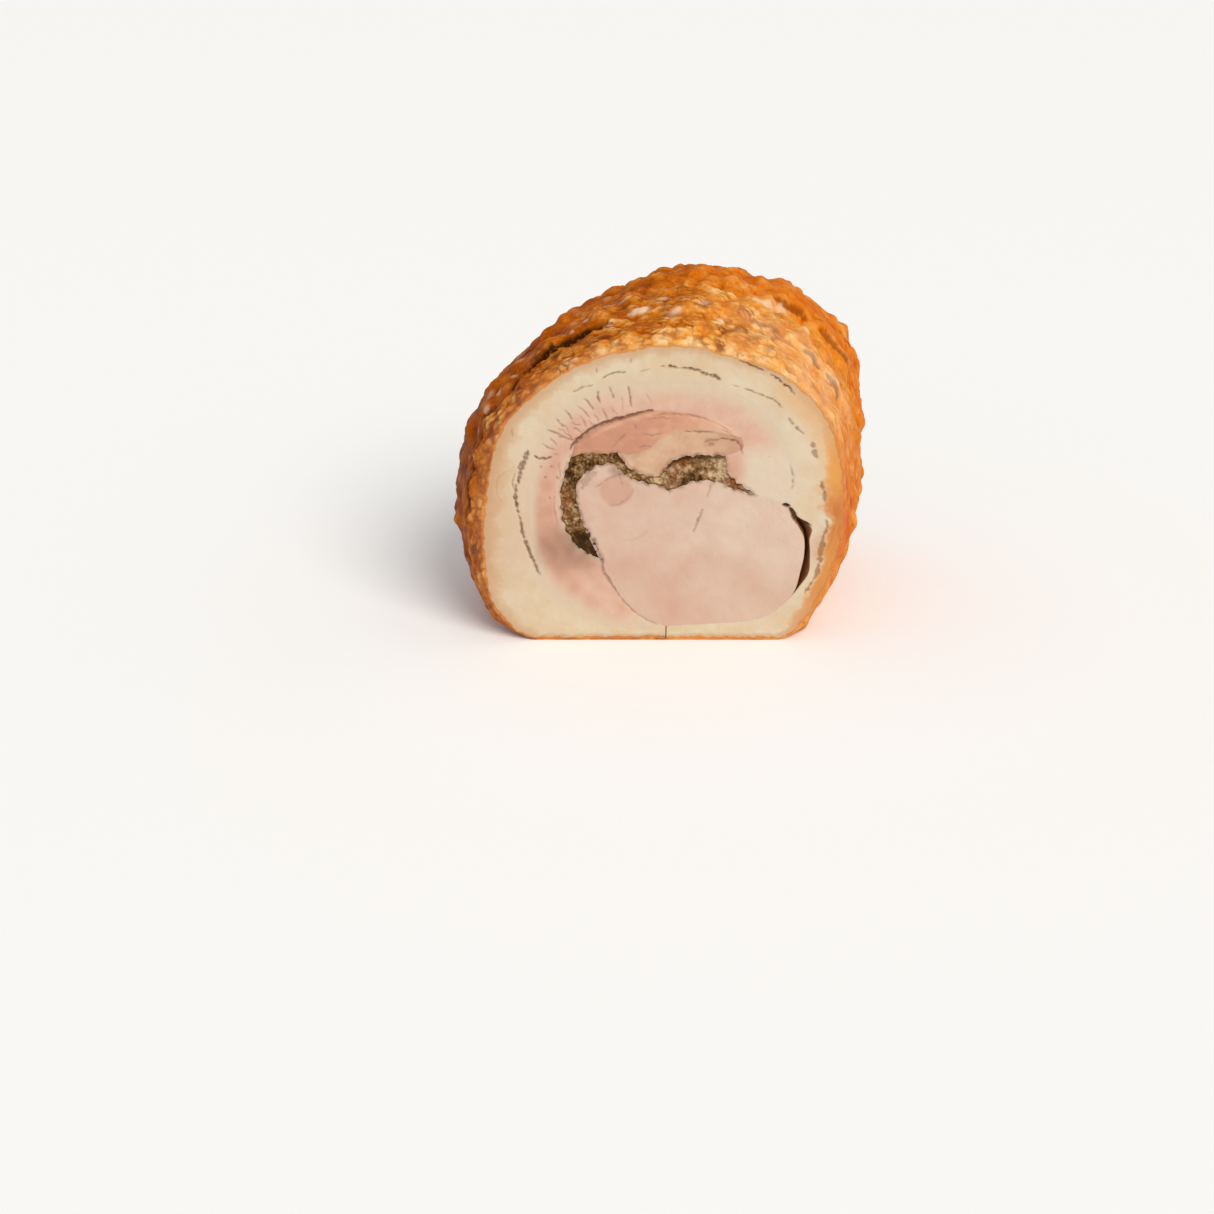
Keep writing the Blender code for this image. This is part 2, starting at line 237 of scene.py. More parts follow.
# The skin starts and ends at the seam under the roll
SKIN_PATH = np.vstack([
    smooth_path([(SEAM_RIGHT[0], -SETTLE), SKIN_EDGE[0]])[:-1],
    smooth_path(SKIN_EDGE),
    smooth_path([SKIN_EDGE[-1], (SEAM_LEFT[0], -SETTLE)])[1:],
])
print("round the cut edge of the skin:", round(lengths_along(SKIN_PATH)[-1]), "mm")

# %% [markdown]
# ## From the cut face into the roll
#
# Three rules carry a place on the cut face back into the roll. The layers inside keep their
# pattern, which only grows, moves and shrinks a little. At the roasted end they are also
# pressed in on one side, so that the rind closes over them. The fat beside the loin moves
# aside where a gap has opened. The skin swells, sinks under each string, and settles flat on
# the table. The part's origin lies below the middle of its box, so the shift between the cut
# face and the frame is read off the CAD model's own loin.

# %% Bumps and steps
def smooth_step(value, low, high):
    """0 below low, 1 above high, and smooth between them."""
    share = np.clip((value - low) / (high - low), 0.0, 1.0)
    return share * share * (3.0 - 2.0 * share)


def fade(value, low, high):
    """1 below low, 0 above high, and smooth between them."""
    return 1 - smooth_step(value, low, high)


def bump(value, place, width):
    """1 at a place, fading to 0 over its width on both sides."""
    return np.exp(-(((value - place) / width) ** 2))


def away_from(across, up, place, wide=1.0, high=1.0):
    """Distance of each point from a place, counted in ellipses this wide and high."""
    return np.hypot((across - place[0]) / wide, (up - place[1]) / high)


def lobe(angle, place, width):
    """A bump round the roll: 1 at its place, fading to 0 over its width."""
    turn = np.remainder(angle - place + math.pi, 2 * math.pi) - math.pi
    return np.exp(-((turn / width) ** 2))


def angle_of(across, up):
    """Direction of a place on the cut face, seen from the middle of the roll."""
    return np.arctan2(up - ROLL_CENTRE[1], across - ROLL_CENTRE[0])


# %% Rules for the inside
def core_place(across, up, depth):
    """Where a place on the cut face lies at a depth behind it."""
    scale = np.interp(depth, CORE_DEPTHS, CORE_SCALES)
    place, width, press = END_PRESS
    pressed = lobe(angle_of(across, up), place, width) * smooth_step(depth, *END_PRESS_DEPTHS)
    scale = scale - press * pressed
    x = ROLL_CENTRE[0] + (across - ROLL_CENTRE[0]) * scale
    x = x + np.interp(depth, CORE_DEPTHS, CORE_BENDS)
    z = ROLL_CENTRE[1] + (up - ROLL_CENTRE[1]) * scale
    return np.stack([x, depth + 0.0 * x, z], axis=-1)


def slot_opening(across, up):
    """How far the fat beside the loin has moved aside at the cut."""
    opening = 0.0 * up
    for place, reach, width in SLOT_BULGES:
        opening = opening + width * np.exp(-(((up - place) / reach) ** 2))
    return opening * np.clip((SLOT_TOP - up) / SLOT_FADE, 0.0, 1.0) * (across > HERB_TIP[0])


def slot_place(across, up, depth):
    """core_place, moved aside where the gap beside the loin is open."""
    opening = slot_opening(across, up) * np.clip(1.0 - depth / SLOT_REACH, 0.0, 1.0)
    return core_place(across + opening, up, depth)


def end_depth(across, up):
    """Depth of the roasted end, which is domed, behind a place on the cut face."""
    reach = away_from(across, up, ROLL_CENTRE)
    return ROLL_LENGTH - END_DOME * np.minimum(1.0, reach / END_REACH) ** 2


# %% Rules for the skin
def string_groove(depth):
    """The grooves of the strings: 1 in a groove and 0 midway between two."""
    return (0.5 + 0.5 * np.cos(2 * math.pi * (depth - FIRST_STRING) / STRING_SPACING)) ** 2


def grown_at(depth):
    """How far the swelling has grown at a depth, from 0 at the cut to 1."""
    return 1.0 - np.exp(-depth / SWELL_REACH)


def settle(height):
    """Height above the table of a point that would lie at this height if nothing held it."""
    rounded = np.clip(height + SETTLE, 0.0, 2 * SETTLE) ** 2 / (4.0 * SETTLE)
    rounded = np.where(rounded > PRESSED, rounded, 0.0)
    return np.where(height < SETTLE, rounded, height)


def skin_place(across, up, depth, relief):
    """Where a point of the skin's cut edge lies at a depth, with the relief added to it."""
    angle = angle_of(across, up)
    grown = grown_at(depth)
    taper = np.maximum(0.0, (depth - TAPER_START) / TAPER_REACH) ** 2
    rim = np.maximum(0.0, (depth - RIM_START) / (ROLL_LENGTH - END_DOME - RIM_START)) ** 2
    swell = SWELL
    for place, width, height in LOBES:
        swell = swell + height * lobe(angle, place, width)
    place, width, height = REAR_SHOULDER
    swell += height * lobe(angle, place, width) * np.minimum(1.0, depth / REAR_SHOULDER_DEPTH)
    place, width, share = UNDERSIDE
    reach = away_from(across, up, ROLL_CENTRE) + swell * grown + relief
    reach -= TAPER * taper * (1.0 - share * lobe(angle, place, width)) + RIM_ROUND * rim
    reach -= STRING_DEPTH * string_groove(depth) * grown
    x = ROLL_CENTRE[0] + reach * np.cos(angle) + BEND * depth ** 2
    z = ROLL_CENTRE[1] + reach * np.sin(angle) + SWELL_LIFT * grown
    return np.stack([x, depth, settle(z)], axis=-1)


# %% The shift between the cut face and the frame
CUT_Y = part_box("fat_cap")[0].y / MM
NEAR_CUT = 0.5
loin_front = [
    point.co.x / MM
    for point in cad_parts["loin"].data.vertices
    if point.co.y / MM < CUT_Y + NEAR_CUT
]
loin_left = smooth_path(HERB_LINES["loin"], 4.0)[:, 0].min() + GAP / 2
FACE_SHIFT = min(loin_front) - loin_left
print("cut face in the frame: shift", round(FACE_SHIFT, 2), "mm, Y", round(CUT_Y, 2), "mm")


def in_frame(places):
    """Places in millimetres, measured from the cut face, as metres in the frame."""
    return (places + np.array([FACE_SHIFT, CUT_Y, 0.0])) * MM


# %% [markdown]
# ## Marks on the cut
#
# A cooked roll doesn't cut clean. Thin dark streaks of spice and skin lie in the fat, short
# cracks run across the lean where it pulled apart, and a dark line follows the folded strip.
# They could be painted, but then they would be flat, so each mark is a stroke with a width
# that both sinks into the surface and colours it. A stroke is a short list of points.

# %% Strokes on the cut face: (width, strength, points)
FAT_STREAKS = [
    (2.2, 0.6, [(-51, 81.5), (-52.3, 78.3), (-53.8, 74.5), (-54.6, 70.5)]),
    (2.2, 1.0, [(-55.2, 70.6), (-54.8, 68.2)]),
    (1.3, 0.75, [(-55.8, 68), (-56.2, 63), (-55.9, 59.5), (-55.2, 56)]),
    (0.5, 0.5, [(-56.6, 72.2), (-57.3, 69), (-57, 65.8)]),
    (1.2, 0.7, [(-55, 54.5), (-53.8, 49.5), (-52.8, 44.5), (-50.6, 38), (-47, 29)]),
    (0.6, 0.5, [(-33.1, 105.8), (-30, 107.3), (-25.6, 108.5)]),
    (0.6, 0.6, [(-21.9, 111.4), (-18.1, 113.3), (-13.1, 113.9)]),
    (0.5, 0.4, [(-11.4, 120), (-11.2, 118)]),
    (0.5, 0.4, [(-24.5, 116), (-24.2, 114)]),
    (0.5, 0.3, [(-7.5, 114), (-3.8, 114.8)]),
    (0.8, 0.8, [(0.6, 116.2), (4, 116.2), (6.9, 115.5)]),
    (0.9, 0.7, [(8.1, 115.5), (13.8, 114.8), (15.5, 114)]),
    (1.5, 0.7, [(14.4, 113.6), (18.8, 113), (21.3, 112), (22.8, 110.8)]),
    (0.5, 0.4, [(28.1, 108.5), (30.6, 107.6)]),
    (0.6, 0.6, [(32.5, 107), (38.1, 104.8), (42.5, 103.3), (45.6, 101.4), (48.1, 98.9)]),
    (1.0, 0.5, [(50, 95.1), (52.5, 92), (56.3, 88.9)]),
    (2.0, 0.5, [(60, 85.1), (60.8, 82), (62.2, 79.2)]),
    (1.4, 0.5, [(64.4, 68.9), (65.6, 65.1), (66.3, 60.8)]),
    (0.5, 0.5, [(51.3, 75.8), (52.6, 70.8), (52.4, 66)]),
    (0.7, 0.8, [(31, 119), (35.5, 117.2), (40, 114.8)]),
    (0.8, 0.8, [(43, 113.2), (48, 109.6), (52.5, 105.6)]),
    (0.5, 0.4, [(-57.4, 90.6), (-57.6, 88.6)]),
    (0.4, 0.25, [(-60, 73.6), (-63.4, 70.4), (-64.2, 66), (-62.6, 60.8)]),
]
FAT_STRIP = (2.6, 1.0, [(65.3, 52), (65.3, 46), (64.2, 38), (62.5, 29), (60, 21)])
LEAN_CRACKS = [
    (0.55, 0.8, [(-11.9, 107.6), (-11.5, 103.9), (-10.8, 99.8)]),
    (0.5, 0.7, [(-19.1, 107.2), (-18.2, 105), (-17.5, 103)]),
    (0.6, 0.8, [(-23.4, 105.6), (-23.6, 103.4), (-22.7, 101.2)]),
    (0.5, 0.8, [(-28.8, 102.6), (-27, 101), (-25.3, 98.4)]),
    (0.4, 0.6, [(-21.6, 98.7), (-20.9, 96.5), (-20.1, 94.4)]),
    (0.4, 0.6, [(-31.3, 99.7), (-29, 97.8), (-26.9, 95.2)]),
    (0.5, 0.7, [(-36, 98), (-34.6, 96.2), (-33.5, 94.5)]),
    (0.45, 0.6, [(-33, 91), (-31.4, 90.2), (-30, 89)]),
    (0.4, 0.6, [(-30, 95.6), (-28.8, 93.6), (-28.1, 91.4)]),
    (0.4, 0.5, [(-27.1, 94.2), (-25.2, 92), (-24.2, 90.6)]),
    (0.5, 0.7, [(-39.5, 94.5), (-38, 93.2), (-37, 91.5)]),
    (0.5, 0.7, [(-43.5, 90), (-41, 89.6), (-38.6, 88.4), (-36, 87)]),
    (0.4, 0.5, [(-37.4, 92.8), (-35.6, 91), (-34.6, 89.2)]),
    (0.4, 0.6, [(-42, 86.6), (-40.6, 85.4), (-39.3, 83.8)]),
    (0.5, 0.7, [(-38.6, 87.4), (-35.5, 86.7), (-32.2, 85.8)]),
    (0.45, 0.6, [(-45, 84.5), (-43, 83), (-40.5, 82)]),
    (0.8, 0.9, [(-48.2, 79.5), (-46, 78.3), (-43.6, 78.4), (-41.6, 79)]),
    (0.4, 0.5, [(-40.6, 80.2), (-39.2, 80)]),
    (0.8, 0.6, [(-46, 75.2), (-45.5, 74.6)]),
    (0.7, 0.5, [(-42, 75.3), (-41.4, 74.8)]),
    (0.8, 0.6, [(-44.2, 70.9), (-43.8, 70.2)]),
    (0.7, 0.6, [(-39.7, 70.8), (-39.3, 70.2)]),
    (0.6, 0.5, [(-42.7, 62.3), (-42.3, 61.7)]),
    (0.4, 0.4, [(-38.8, 76.4), (-38.4, 72), (-39, 69.5)]),
    (0.35, 0.3, [(-5.2, 104.5), (-4.2, 103.2), (-3, 101)]),
    (0.4, 0.35, [(-40.4, 66), (-40.6, 58), (-39.4, 50)]),
    (0.4, 0.4, [(42.8, 79.4), (42.4, 78.9)]),
    (0.4, 0.6, [(-35.4, 88.6), (-33.8, 87), (-32.6, 84.8)]),
    (0.4, 0.5, [(-33.6, 93.4), (-32, 92.2), (-30.2, 92.4)]),
    (0.4, 0.5, [(-25, 96.4), (-23.6, 94.4), (-23.2, 92.6)]),
    (0.35, 0.45, [(-29.4, 90.2), (-28, 89), (-27.2, 87)]),
    (0.35, 0.45, [(-38.6, 90.6), (-36.8, 89.6), (-35.8, 88)]),
    (0.35, 0.4, [(-14.6, 103.2), (-14, 100.4), (-14.4, 98)]),
    (0.35, 0.4, [(-18.4, 99.6), (-17.4, 97.6), (-16, 96.4)]),
]
FOLD_CREASE = (1.25, 0.9, [(-34.2, 82.4), (-31.6, 86.2), (-26.3, 90.4), (-20, 93.4), (-13.1, 95.3),
                          (-7.5, 97.1), (-2.6, 98)])
FINE_CREASES = [
    (0.5, 0.5, [(-17.5, 83.4), (-15.4, 86.4), (-13, 88.6)]),
    (0.5, 0.45, [(-6.2, 88.6), (-2.4, 88.2), (0.8, 88.9)]),
    (0.4, 0.45, [(-4, 94.4), (0, 95.2), (4.4, 95)]),
    (0.4, 0.4, [(-9.4, 92.6), (-9, 90.6)]),
    (0.5, 0.5, [(-7.6, 83), (-5, 83.8), (-3.2, 83.4)]),
    (0.9, 0.5, [(17.6, 85), (20.2, 86), (22.4, 85.6)]),
    (0.5, 0.55, [(-2.5, 96), (3, 96.8), (10, 96.2), (15.6, 95.4), (18.8, 94)]),
    (0.4, 0.3, [(18.8, 94), (23.8, 92), (28, 89.4)]),
    (0.7, 0.6, [(10, 89.6), (15, 89.4), (20.6, 89.1)]),
    (0.7, 0.7, [(20.6, 85.6), (24, 86.4), (27.5, 86.1), (30.4, 85.2), (31.8, 82.8), (32.4, 80.2)]),
    (0.4, 0.4, [(24, 90.4), (27, 88.8), (29.6, 86.8)]),
]
LOIN_MARKS = [
    (2.4, 0.3, [(-29.8, 66), (-27.8, 70), (-24, 73)]),
    (1.2, 0.5, [LEG_FOOT, (-21.6, 31), (-19.5, 27), (-16.5, 22)]),
    (0.6, 0.4, [(-16.5, 22), (-13, 17), (-9, 12.6), (-5, 9.5), (0, 7)]),
    (0.7, 0.6, [(17.6, 57.2), (16.4, 54), (15.2, 50.8), (14.2, 47.6)]),
    (0.5, 0.6, [(20.4, 67.5), (20, 65), (19.2, 62.6)]),
    (0.5, 0.45, [(-24.5, 66.5), (-20.6, 69.4), (-15.4, 71.6), (-12.6, 71.2)]),
    (0.4, 0.4, [(-9.8, 65.6), (-11.3, 62.2), (-14.6, 59.6), (-19, 58.6)]),
    (0.35, 0.25, [(-14, 43.5), (-8, 45), (-4, 47.5)]),
]
# Small holes at the head of the gap, painted dark as the shade inside them
SLOT_HOLES = [
    (1.5, 1.0, [(49.2, 59), (51.4, 58.6)]),
    (2.0, 1.0, [(52, 57.4), (53.2, 55), (54.2, 53), (56, 50.5)]),
]


# %% How a stroke marks the surface
def nearest_on(path, across, up):
    """Distance of each place from a path, and the length along the path where it is nearest."""
    along = lengths_along(path)
    distance = np.full(len(across), 1e9)
    where = np.zeros(len(across))
    for start, end, begin in zip(path, path[1:], along):
        step = end - start
        size = np.linalg.norm(step)
        share = ((across - start[0]) * step[0] + (up - start[1]) * step[1]) / size ** 2
        share = np.clip(share, 0.0, 1.0)
        gap = np.hypot(across - start[0] - share * step[0], up - start[1] - share * step[1])
        closer = gap < distance
        distance = np.where(closer, gap, distance)
        where = np.where(closer, begin + share * size, where)
    return distance, where


MARK_SOFT = 0.3
MARK_STEP = 0.8
MARK_WANDER, MARK_WANDER_SIZE = 0.45, 1.8
THINNEST = 0.05


def stroke(mark, across, up, broken=0.0):
    """Strength of one stroke at each place: full along its middle, thinner to its ends."""
    width, strength, points = mark
    path = ragged(smooth_path(points, MARK_STEP), MARK_WANDER, MARK_WANDER_SIZE)
    low = path.min(axis=0) - 3 * width
    high = path.max(axis=0) + 3 * width
    near = (across > low[0]) & (across < high[0]) & (up > low[1]) & (up < high[1])
    result = np.zeros(len(across))
    if near.any():
        distance, where = nearest_on(path, across[near], up[near])
        share = where / lengths_along(path)[-1]
        taper = 0.45 + 0.55 * np.sin(math.pi * share) ** 0.6
        wobble = 1.0 + broken * 2.2 * clouds(where, 0 * where, 1.6, points[0][0])
        half = 0.5 * width * taper * np.clip(wobble, 0.0, 1.4)
        ink = 1.0 + broken * 1.2 * clouds(across[near], up[near], 0.9, 33.0)
        shade = np.clip((half + MARK_SOFT - distance) / (2 * MARK_SOFT), 0.0, 1.0)
        result[near] = strength * shade * np.clip(ink, 0.0, 1.0) * (half > THINNEST)
    return result


def strongest(marks, across, up, broken=0.0):
    """The strongest of several strokes at each place."""
    result = np.zeros(len(across))
    for mark in marks:
        result = np.maximum(result, stroke(mark, across, up, broken))
    return result


# %% All marks together, and how deep they are
MARK_DEPTH = 0.6
HOLE_DEPTH = 1.3
# Waves that the knife left, and the meat's own grain: (height, size, layer)
CUT_WAVES = ((0.30, 16.0, 2.0), (0.12, 3.5, 3.0), (0.05, 1.1, 4.0))


# The cracks across the lean and the holes by the gap are painted dark as the shade inside them; the
# streaks in the fat are dark by their own colour
def dark_marks(across, up):
    """How dark each place of the cut is with streaks, cracks and creases, from 0 to 1."""
    dark = strongest(SLOT_HOLES, across, up)
    for marks, broken in (
        (FAT_STREAKS, 0.8), (LEAN_CRACKS, 0.5), (FINE_CREASES, 0.5), (LOIN_MARKS, 0.5),
        ([FOLD_CREASE], 0.2),
    ):
        dark = np.maximum(dark, strongest(marks, across, up, broken))
    return dark


def cut_relief(across, up, dark):
    """How far the cut face sinks at each place, in millimetres: marks, knife waves and grain."""
    holes = strongest(SLOT_HOLES, across, up)
    return MARK_DEPTH * dark + HOLE_DEPTH * holes + layered_clouds(across, up, CUT_WAVES)


print("marks on the cut:", len(FAT_STREAKS + LEAN_CRACKS + FINE_CREASES + LOIN_MARKS) + 1)

# %% [markdown]
# ## A layer as a bent slab
#
# Every layer runs through the whole roll, so it is a slab with a complicated outline. Drawing
# its faces one by one would be slow, and filling an outline with one big face would leave
# nothing to shape on the cut. So a slab is made flat first: a fine grid for the cut face and a
# coarser one for the roasted end, bridged along their sides, with the walls cut at a few
# depths. The slab then bends into place: one side follows the outer line of the layer, the
# other side its inner line, and the front takes the relief of the cut.

# %% A plain slab
SPACING = 0.42
END_DETAIL = 0.5
WALL_DEPTHS = (2.0, 4.0, 7.0, 12.0, 20.0, 30.0, 45.0, 60.0, 75.0, 90.0, 101.0)
SHARP_WALL = math.radians(40)
UPRIGHT = Matrix.Translation((0.5, 0, 0.5)) @ Matrix.Rotation(math.radians(90), 4, "X")


def two_sheets(shape, near, far):
    """Upright grids at Y 0 and Y 1, each with its own (columns, rows), bridged all round."""
    for depth, (columns, rows) in enumerate((near, far)):
        bmesh.ops.create_grid(
            shape, x_segments=columns, y_segments=rows, size=0.5,
            matrix=Matrix.Translation((0, depth, 0)) @ UPRIGHT,
        )
    open_edges = [edge for edge in shape.edges if edge.is_boundary]
    for axis, value in ((2, 0.0), (2, 1.0), (0, 0.0), (0, 1.0)):
        side = [
            edge for edge in open_edges
            if all(abs(point.co[axis] - value) < 1e-5 for point in edge.verts)
        ]
        bmesh.ops.bridge_loops(shape, edges=side)
    bmesh.ops.recalc_face_normals(shape, faces=shape.faces)


def flat_slab(name, columns, rows):
    """A closed slab from 0 to 1 on each axis: X along the layer, Z across it and Y its depth."""
    shape = bmesh.new()
    far = (max(2, round(columns * END_DETAIL)), max(2, round(rows * END_DETAIL)))
    two_sheets(shape, (columns, rows), far)
    sections = len(WALL_DEPTHS) + 1
    for section in range(1, sections):
        walls = [face for face in shape.faces if abs(face.normal.y) < 0.5]
        edges = {edge for face in walls for edge in face.edges}
        bmesh.ops.bisect_plane(
            shape, geom=walls + list(edges), plane_co=(0, section / sections, 0),
            plane_no=(0, 1, 0),
        )
    mesh = bpy.data.meshes.new(name)
    shape.to_mesh(mesh)
    shape.free()
    mesh.set_sharp_from_angle(angle=SHARP_WALL)
    return mesh


def points_of(mesh):
    """The mesh's points as rows of x, y, z."""
    points = np.empty(len(mesh.vertices) * 3)
    mesh.vertices.foreach_get("co", points)
    return points.reshape(-1, 3)


def move_points(mesh, places):
    """Puts the mesh's points at these places of the cut face's millimetres."""
    mesh.vertices.foreach_set("co", in_frame(places).ravel())
    mesh.update()


def paint(mesh, **masks):
    """Stores one number for each point and mask, for the materials to read."""
    for name, values in masks.items():
        mask = mesh.attributes.new(name, "FLOAT", "POINT")
        mask.data.foreach_set("value", np.clip(values, 0.0, 1.0).astype(np.float32))
    print(f"{mesh.name}: painted", ", ".join(masks))


# Only points that truly coincide are merged, because a wider reach tears the thin slivers
MERGE_REACH = 0.001 * MM


def close_up(mesh):
    """Merges the points where a slab runs out to nothing, and turns its faces outwards."""
    shape = bmesh.new()
    shape.from_mesh(mesh)
    bmesh.ops.remove_doubles(shape, verts=shape.verts, dist=MERGE_REACH)
    bmesh.ops.dissolve_degenerate(shape, edges=shape.edges, dist=MERGE_REACH)
    if shape.calc_volume(signed=True) < 0:
        bmesh.ops.reverse_faces(shape, faces=shape.faces)
    open_edges = sum(not edge.is_manifold for edge in shape.edges)
    print(f"{mesh.name}: {open_edges} open edges")
    shape.to_mesh(mesh)
    shape.free()


# %% Matched sides of a layer
def split_path(path, places):
    """The path cut into parts at its points nearest to these places."""
    parts = []
    rest = path
    for place in places:
        index = np.argmin(np.hypot(rest[:, 0] - place[0], rest[:, 1] - place[1]))
        index = min(max(index, 1), len(rest) - 2)
        parts.append(rest[: index + 1])
        rest = rest[index:]
    return parts + [rest]


def matched_sides(outer, inner, spacing=SPACING):
    """Places on both sides of a layer, so that a column runs across it from each pair."""
    sides = [[], []]
    for pair in zip(outer, inner):
        longest = max(lengths_along(path)[-1] for path in pair)
        count = max(2, round(longest / spacing))
        for side, path in zip(sides, pair):
            side.append(places_on(path, np.arange(count) / count))
    for side, paths in zip(sides, (outer, inner)):
        side.append(paths[-1][-1:])
    return np.vstack(sides[0]), np.vstack(sides[1])


# %% Where the herbs have stained their neighbours
HERB_RING = np.vstack([HERB_EDGES[name] for name in ("lean", "fold", "fat", "tip")])
STAIN_REACH = 1.7


def herb_stain(across, up):
    """Brown-olive smears within about a millimetre of the herbs, from 0 to 1."""
    above, _ = nearest_on(HERB_RING[::3], across, up)
    below, _ = nearest_on(HERB_EDGES["loin"][::3], across, up)
    patches = np.clip(0.55 + 1.4 * clouds(across, up, 2.2, 74.0), 0.0, 1.0)
    return fade(np.minimum(above, below), 0.0, STAIN_REACH) * patches


# %% How brown the roasted end is
# Large faint patches and fine specks: (height, size, layer)
ROAST_WAVES = ((0.2, 13.0, 91.0), (0.2, 3.1, 92.0), (0.16, 1.3, 93.0))


def roasted(known, strength):
    """The roasted end's brown, which is nowhere else."""
    patches = 0.92 + layered_clouds(known["across"], known["up"], ROAST_WAVES)
    return strength * np.clip(patches, 0.6, 1.1) * known["end"]


# %% Bend a slab into its layer
PILLOW = 1.5
CREASE = 0.03
END_CREASE = 1.0
END_WAVES = ((1.4, 9.0, 11.0), (0.5, 3.0, 12.0))


def bend_slab(name, outer, inner, rise, sink=0.0, outer_place=core_place,
              inner_place=core_place, spacing=SPACING):
    """A layer between two matched sides. Returns its mesh and what is known of each point."""
    outer_side, inner_side = matched_sides(outer, inner, spacing)
    thickness = np.hypot(*(outer_side - inner_side).T)
    rows = max(3, round(np.percentile(thickness, 75) / spacing))
    mesh = flat_slab(name, len(outer_side) - 1, rows)
    flat = points_of(mesh)
    columns = np.arange(len(outer_side))
    column = flat[:, 0] * columns[-1]
    outer_edge, inner_edge = (
        np.stack([np.interp(column, columns, side[:, axis]) for axis in (0, 1)], axis=-1)
        for side in (outer_side, inner_side)
    )
    across_share = flat[:, 2]
    section = np.rint(flat[:, 1] * (len(WALL_DEPTHS) + 1)).astype(int)
    share = across_share[:, None]
    face = outer_edge * (1 - share) + inner_edge * share
    across, up = face.T
    border = np.minimum(across_share, 1 - across_share) * np.hypot(*(outer_edge - inner_edge).T)
    pillow = 1 - np.exp(-border / PILLOW)
    dark = dark_marks(across, up)
    front = cut_relief(across, up, dark) + CREASE * (1 - pillow) + sink * pillow
    end = end_depth(across, up) + layered_clouds(across, up, END_WAVES)
    end += rise * pillow - END_CREASE * (1 - pillow)
    depth = np.array((0.0, *WALL_DEPTHS, 0.0))[section]
    last = len(WALL_DEPTHS) + 1
    depth = np.where(section == 0, front, np.where(section == last, end, depth))
    outer_point = outer_place(*outer_edge.T, depth)
    inner_point = inner_place(*inner_edge.T, depth)
    places = outer_point * (1 - share) + inner_point * share
    move_points(mesh, places)
    at_front = section == 0
    known = {
        "across": across, "up": up, "depth": depth, "border": border, "dark": dark * at_front,
        "front": at_front, "end": section == last, "share": across_share,
        "stain": herb_stain(across, up) * at_front,
    }
    return mesh, known


def finish_piece(mesh, material, node):
    """Makes the mesh a piece that stands for a CAD node and rides on the roast."""
    close_up(mesh)
    mesh.shade_smooth()
    mesh.materials.append(material)
    piece = bpy.data.objects.new(mesh.name, mesh)
    bpy.context.scene.collection.objects.link(piece)
    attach(piece, "root")
    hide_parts(node)
    triangles = sum(len(face.vertices) - 2 for face in mesh.polygons)
    print(f"{piece.name}: {triangles} triangles")
    return piece


# %% [markdown]
# ## Colours and the one helper for nodes
#
# Colours are written as they look on a screen, in sRGB hex, and one function turns them into
# the linear values that Blender mixes light with. A material is a small tree of nodes, and one
# helper adds a node with its settings and its links.

# %% Colour and node helpers
def colour(code):
    """An sRGB hex colour as linear red, green, blue and alpha."""
    parts = [int(code[start:start + 2], 16) / 255 for start in (1, 3, 5)]
    linear = [
        part / 12.92 if part <= 0.04045 else ((part + 0.055) / 1.055) ** 2.4
        for part in parts
    ]
    return (*linear, 1.0)


def add(tree, kind, inputs=None, stops=None, **settings):
    """Adds a node, sets its properties, and fills its inputs with values or with links."""
    made = tree.nodes.new(kind)
    for name, value in settings.items():
        setattr(made, name, value)
    for name, value in (inputs or {}).items():
        if isinstance(value, bpy.types.NodeSocket):
            tree.links.new(value, made.inputs[name])
        else:
            made.inputs[name].default_value = value
    if stops:
        while len(made.color_ramp.elements) < len(stops):
            made.color_ramp.elements.new(1.0)
        for element, (place, code) in zip(made.color_ramp.elements, stops):
            element.position = place
            element.color = colour(code)
    return made


def new_material(name):
    """An empty material, with its tree and the node that takes the finished surface."""
    material = bpy.data.materials.new(name)
    material.use_nodes = True
    material.node_tree.nodes.clear()
    output = add(material.node_tree, "ShaderNodeOutputMaterial")
    return material, material.node_tree, output


def per_mm(size):
    """Scale of a pattern on Object coordinates, which are metres, for lumps of this size."""
    return 1.0 / (size * MM)


# A mix node has sockets for numbers and vectors too: its colours are at 6 and 7, and out at 2
HOW_MUCH, UNDER, OVER, MIXED = 0, 6, 7, 2


def lay_over(tree, body, layers):
    """A colour with others laid over it, each as strongly as the mask that was painted for it."""
    for mask, code in layers:
        strength = add(tree, "ShaderNodeAttribute", attribute_name=mask).outputs["Fac"]
        body = add(tree, "ShaderNodeMix", {
            HOW_MUCH: strength, UNDER: body, OVER: colour(code),
        }, data_type="RGBA").outputs[MIXED]
    return body


# %% [markdown]
# ## Cooked meat and fat
#
# The cut layers are all moist, soft and a little see-through: light enters, spreads a
# millimetre or two and comes out warmer. So they share one recipe. Its base colour drifts
# between two near tones in soft clouds, because no piece of meat is one colour. Painted masks
# then lay the neighbour's colour, the gold next to the rind, the dark marks, the browned end and
# the herbs' smear over it, and some of them also carry painted shade: in the cracks, below the
# herbs' leg and on the walls of the gap beside the loin. The gloss is broken by a fine bump, as
# on a wet cut.

# %% The recipe for a cut layer
MARK_BROWN = "#693a1a"
ROSY = "#c18a70"
RIND_GOLD = "#dc9a4c"
AMBER = "#b4561a"
PALE_CREAM = "#d9cab5"
# Herbs' smear, also laid below the herbs' leg as painted shade
SMEAR_AND_SHADE_BROWN = "#774f35"
# Brown of the roasted end, also laid on the walls of the gap beside the loin as painted shade
ROAST_AND_SHADE_BROWN = "#96602c"


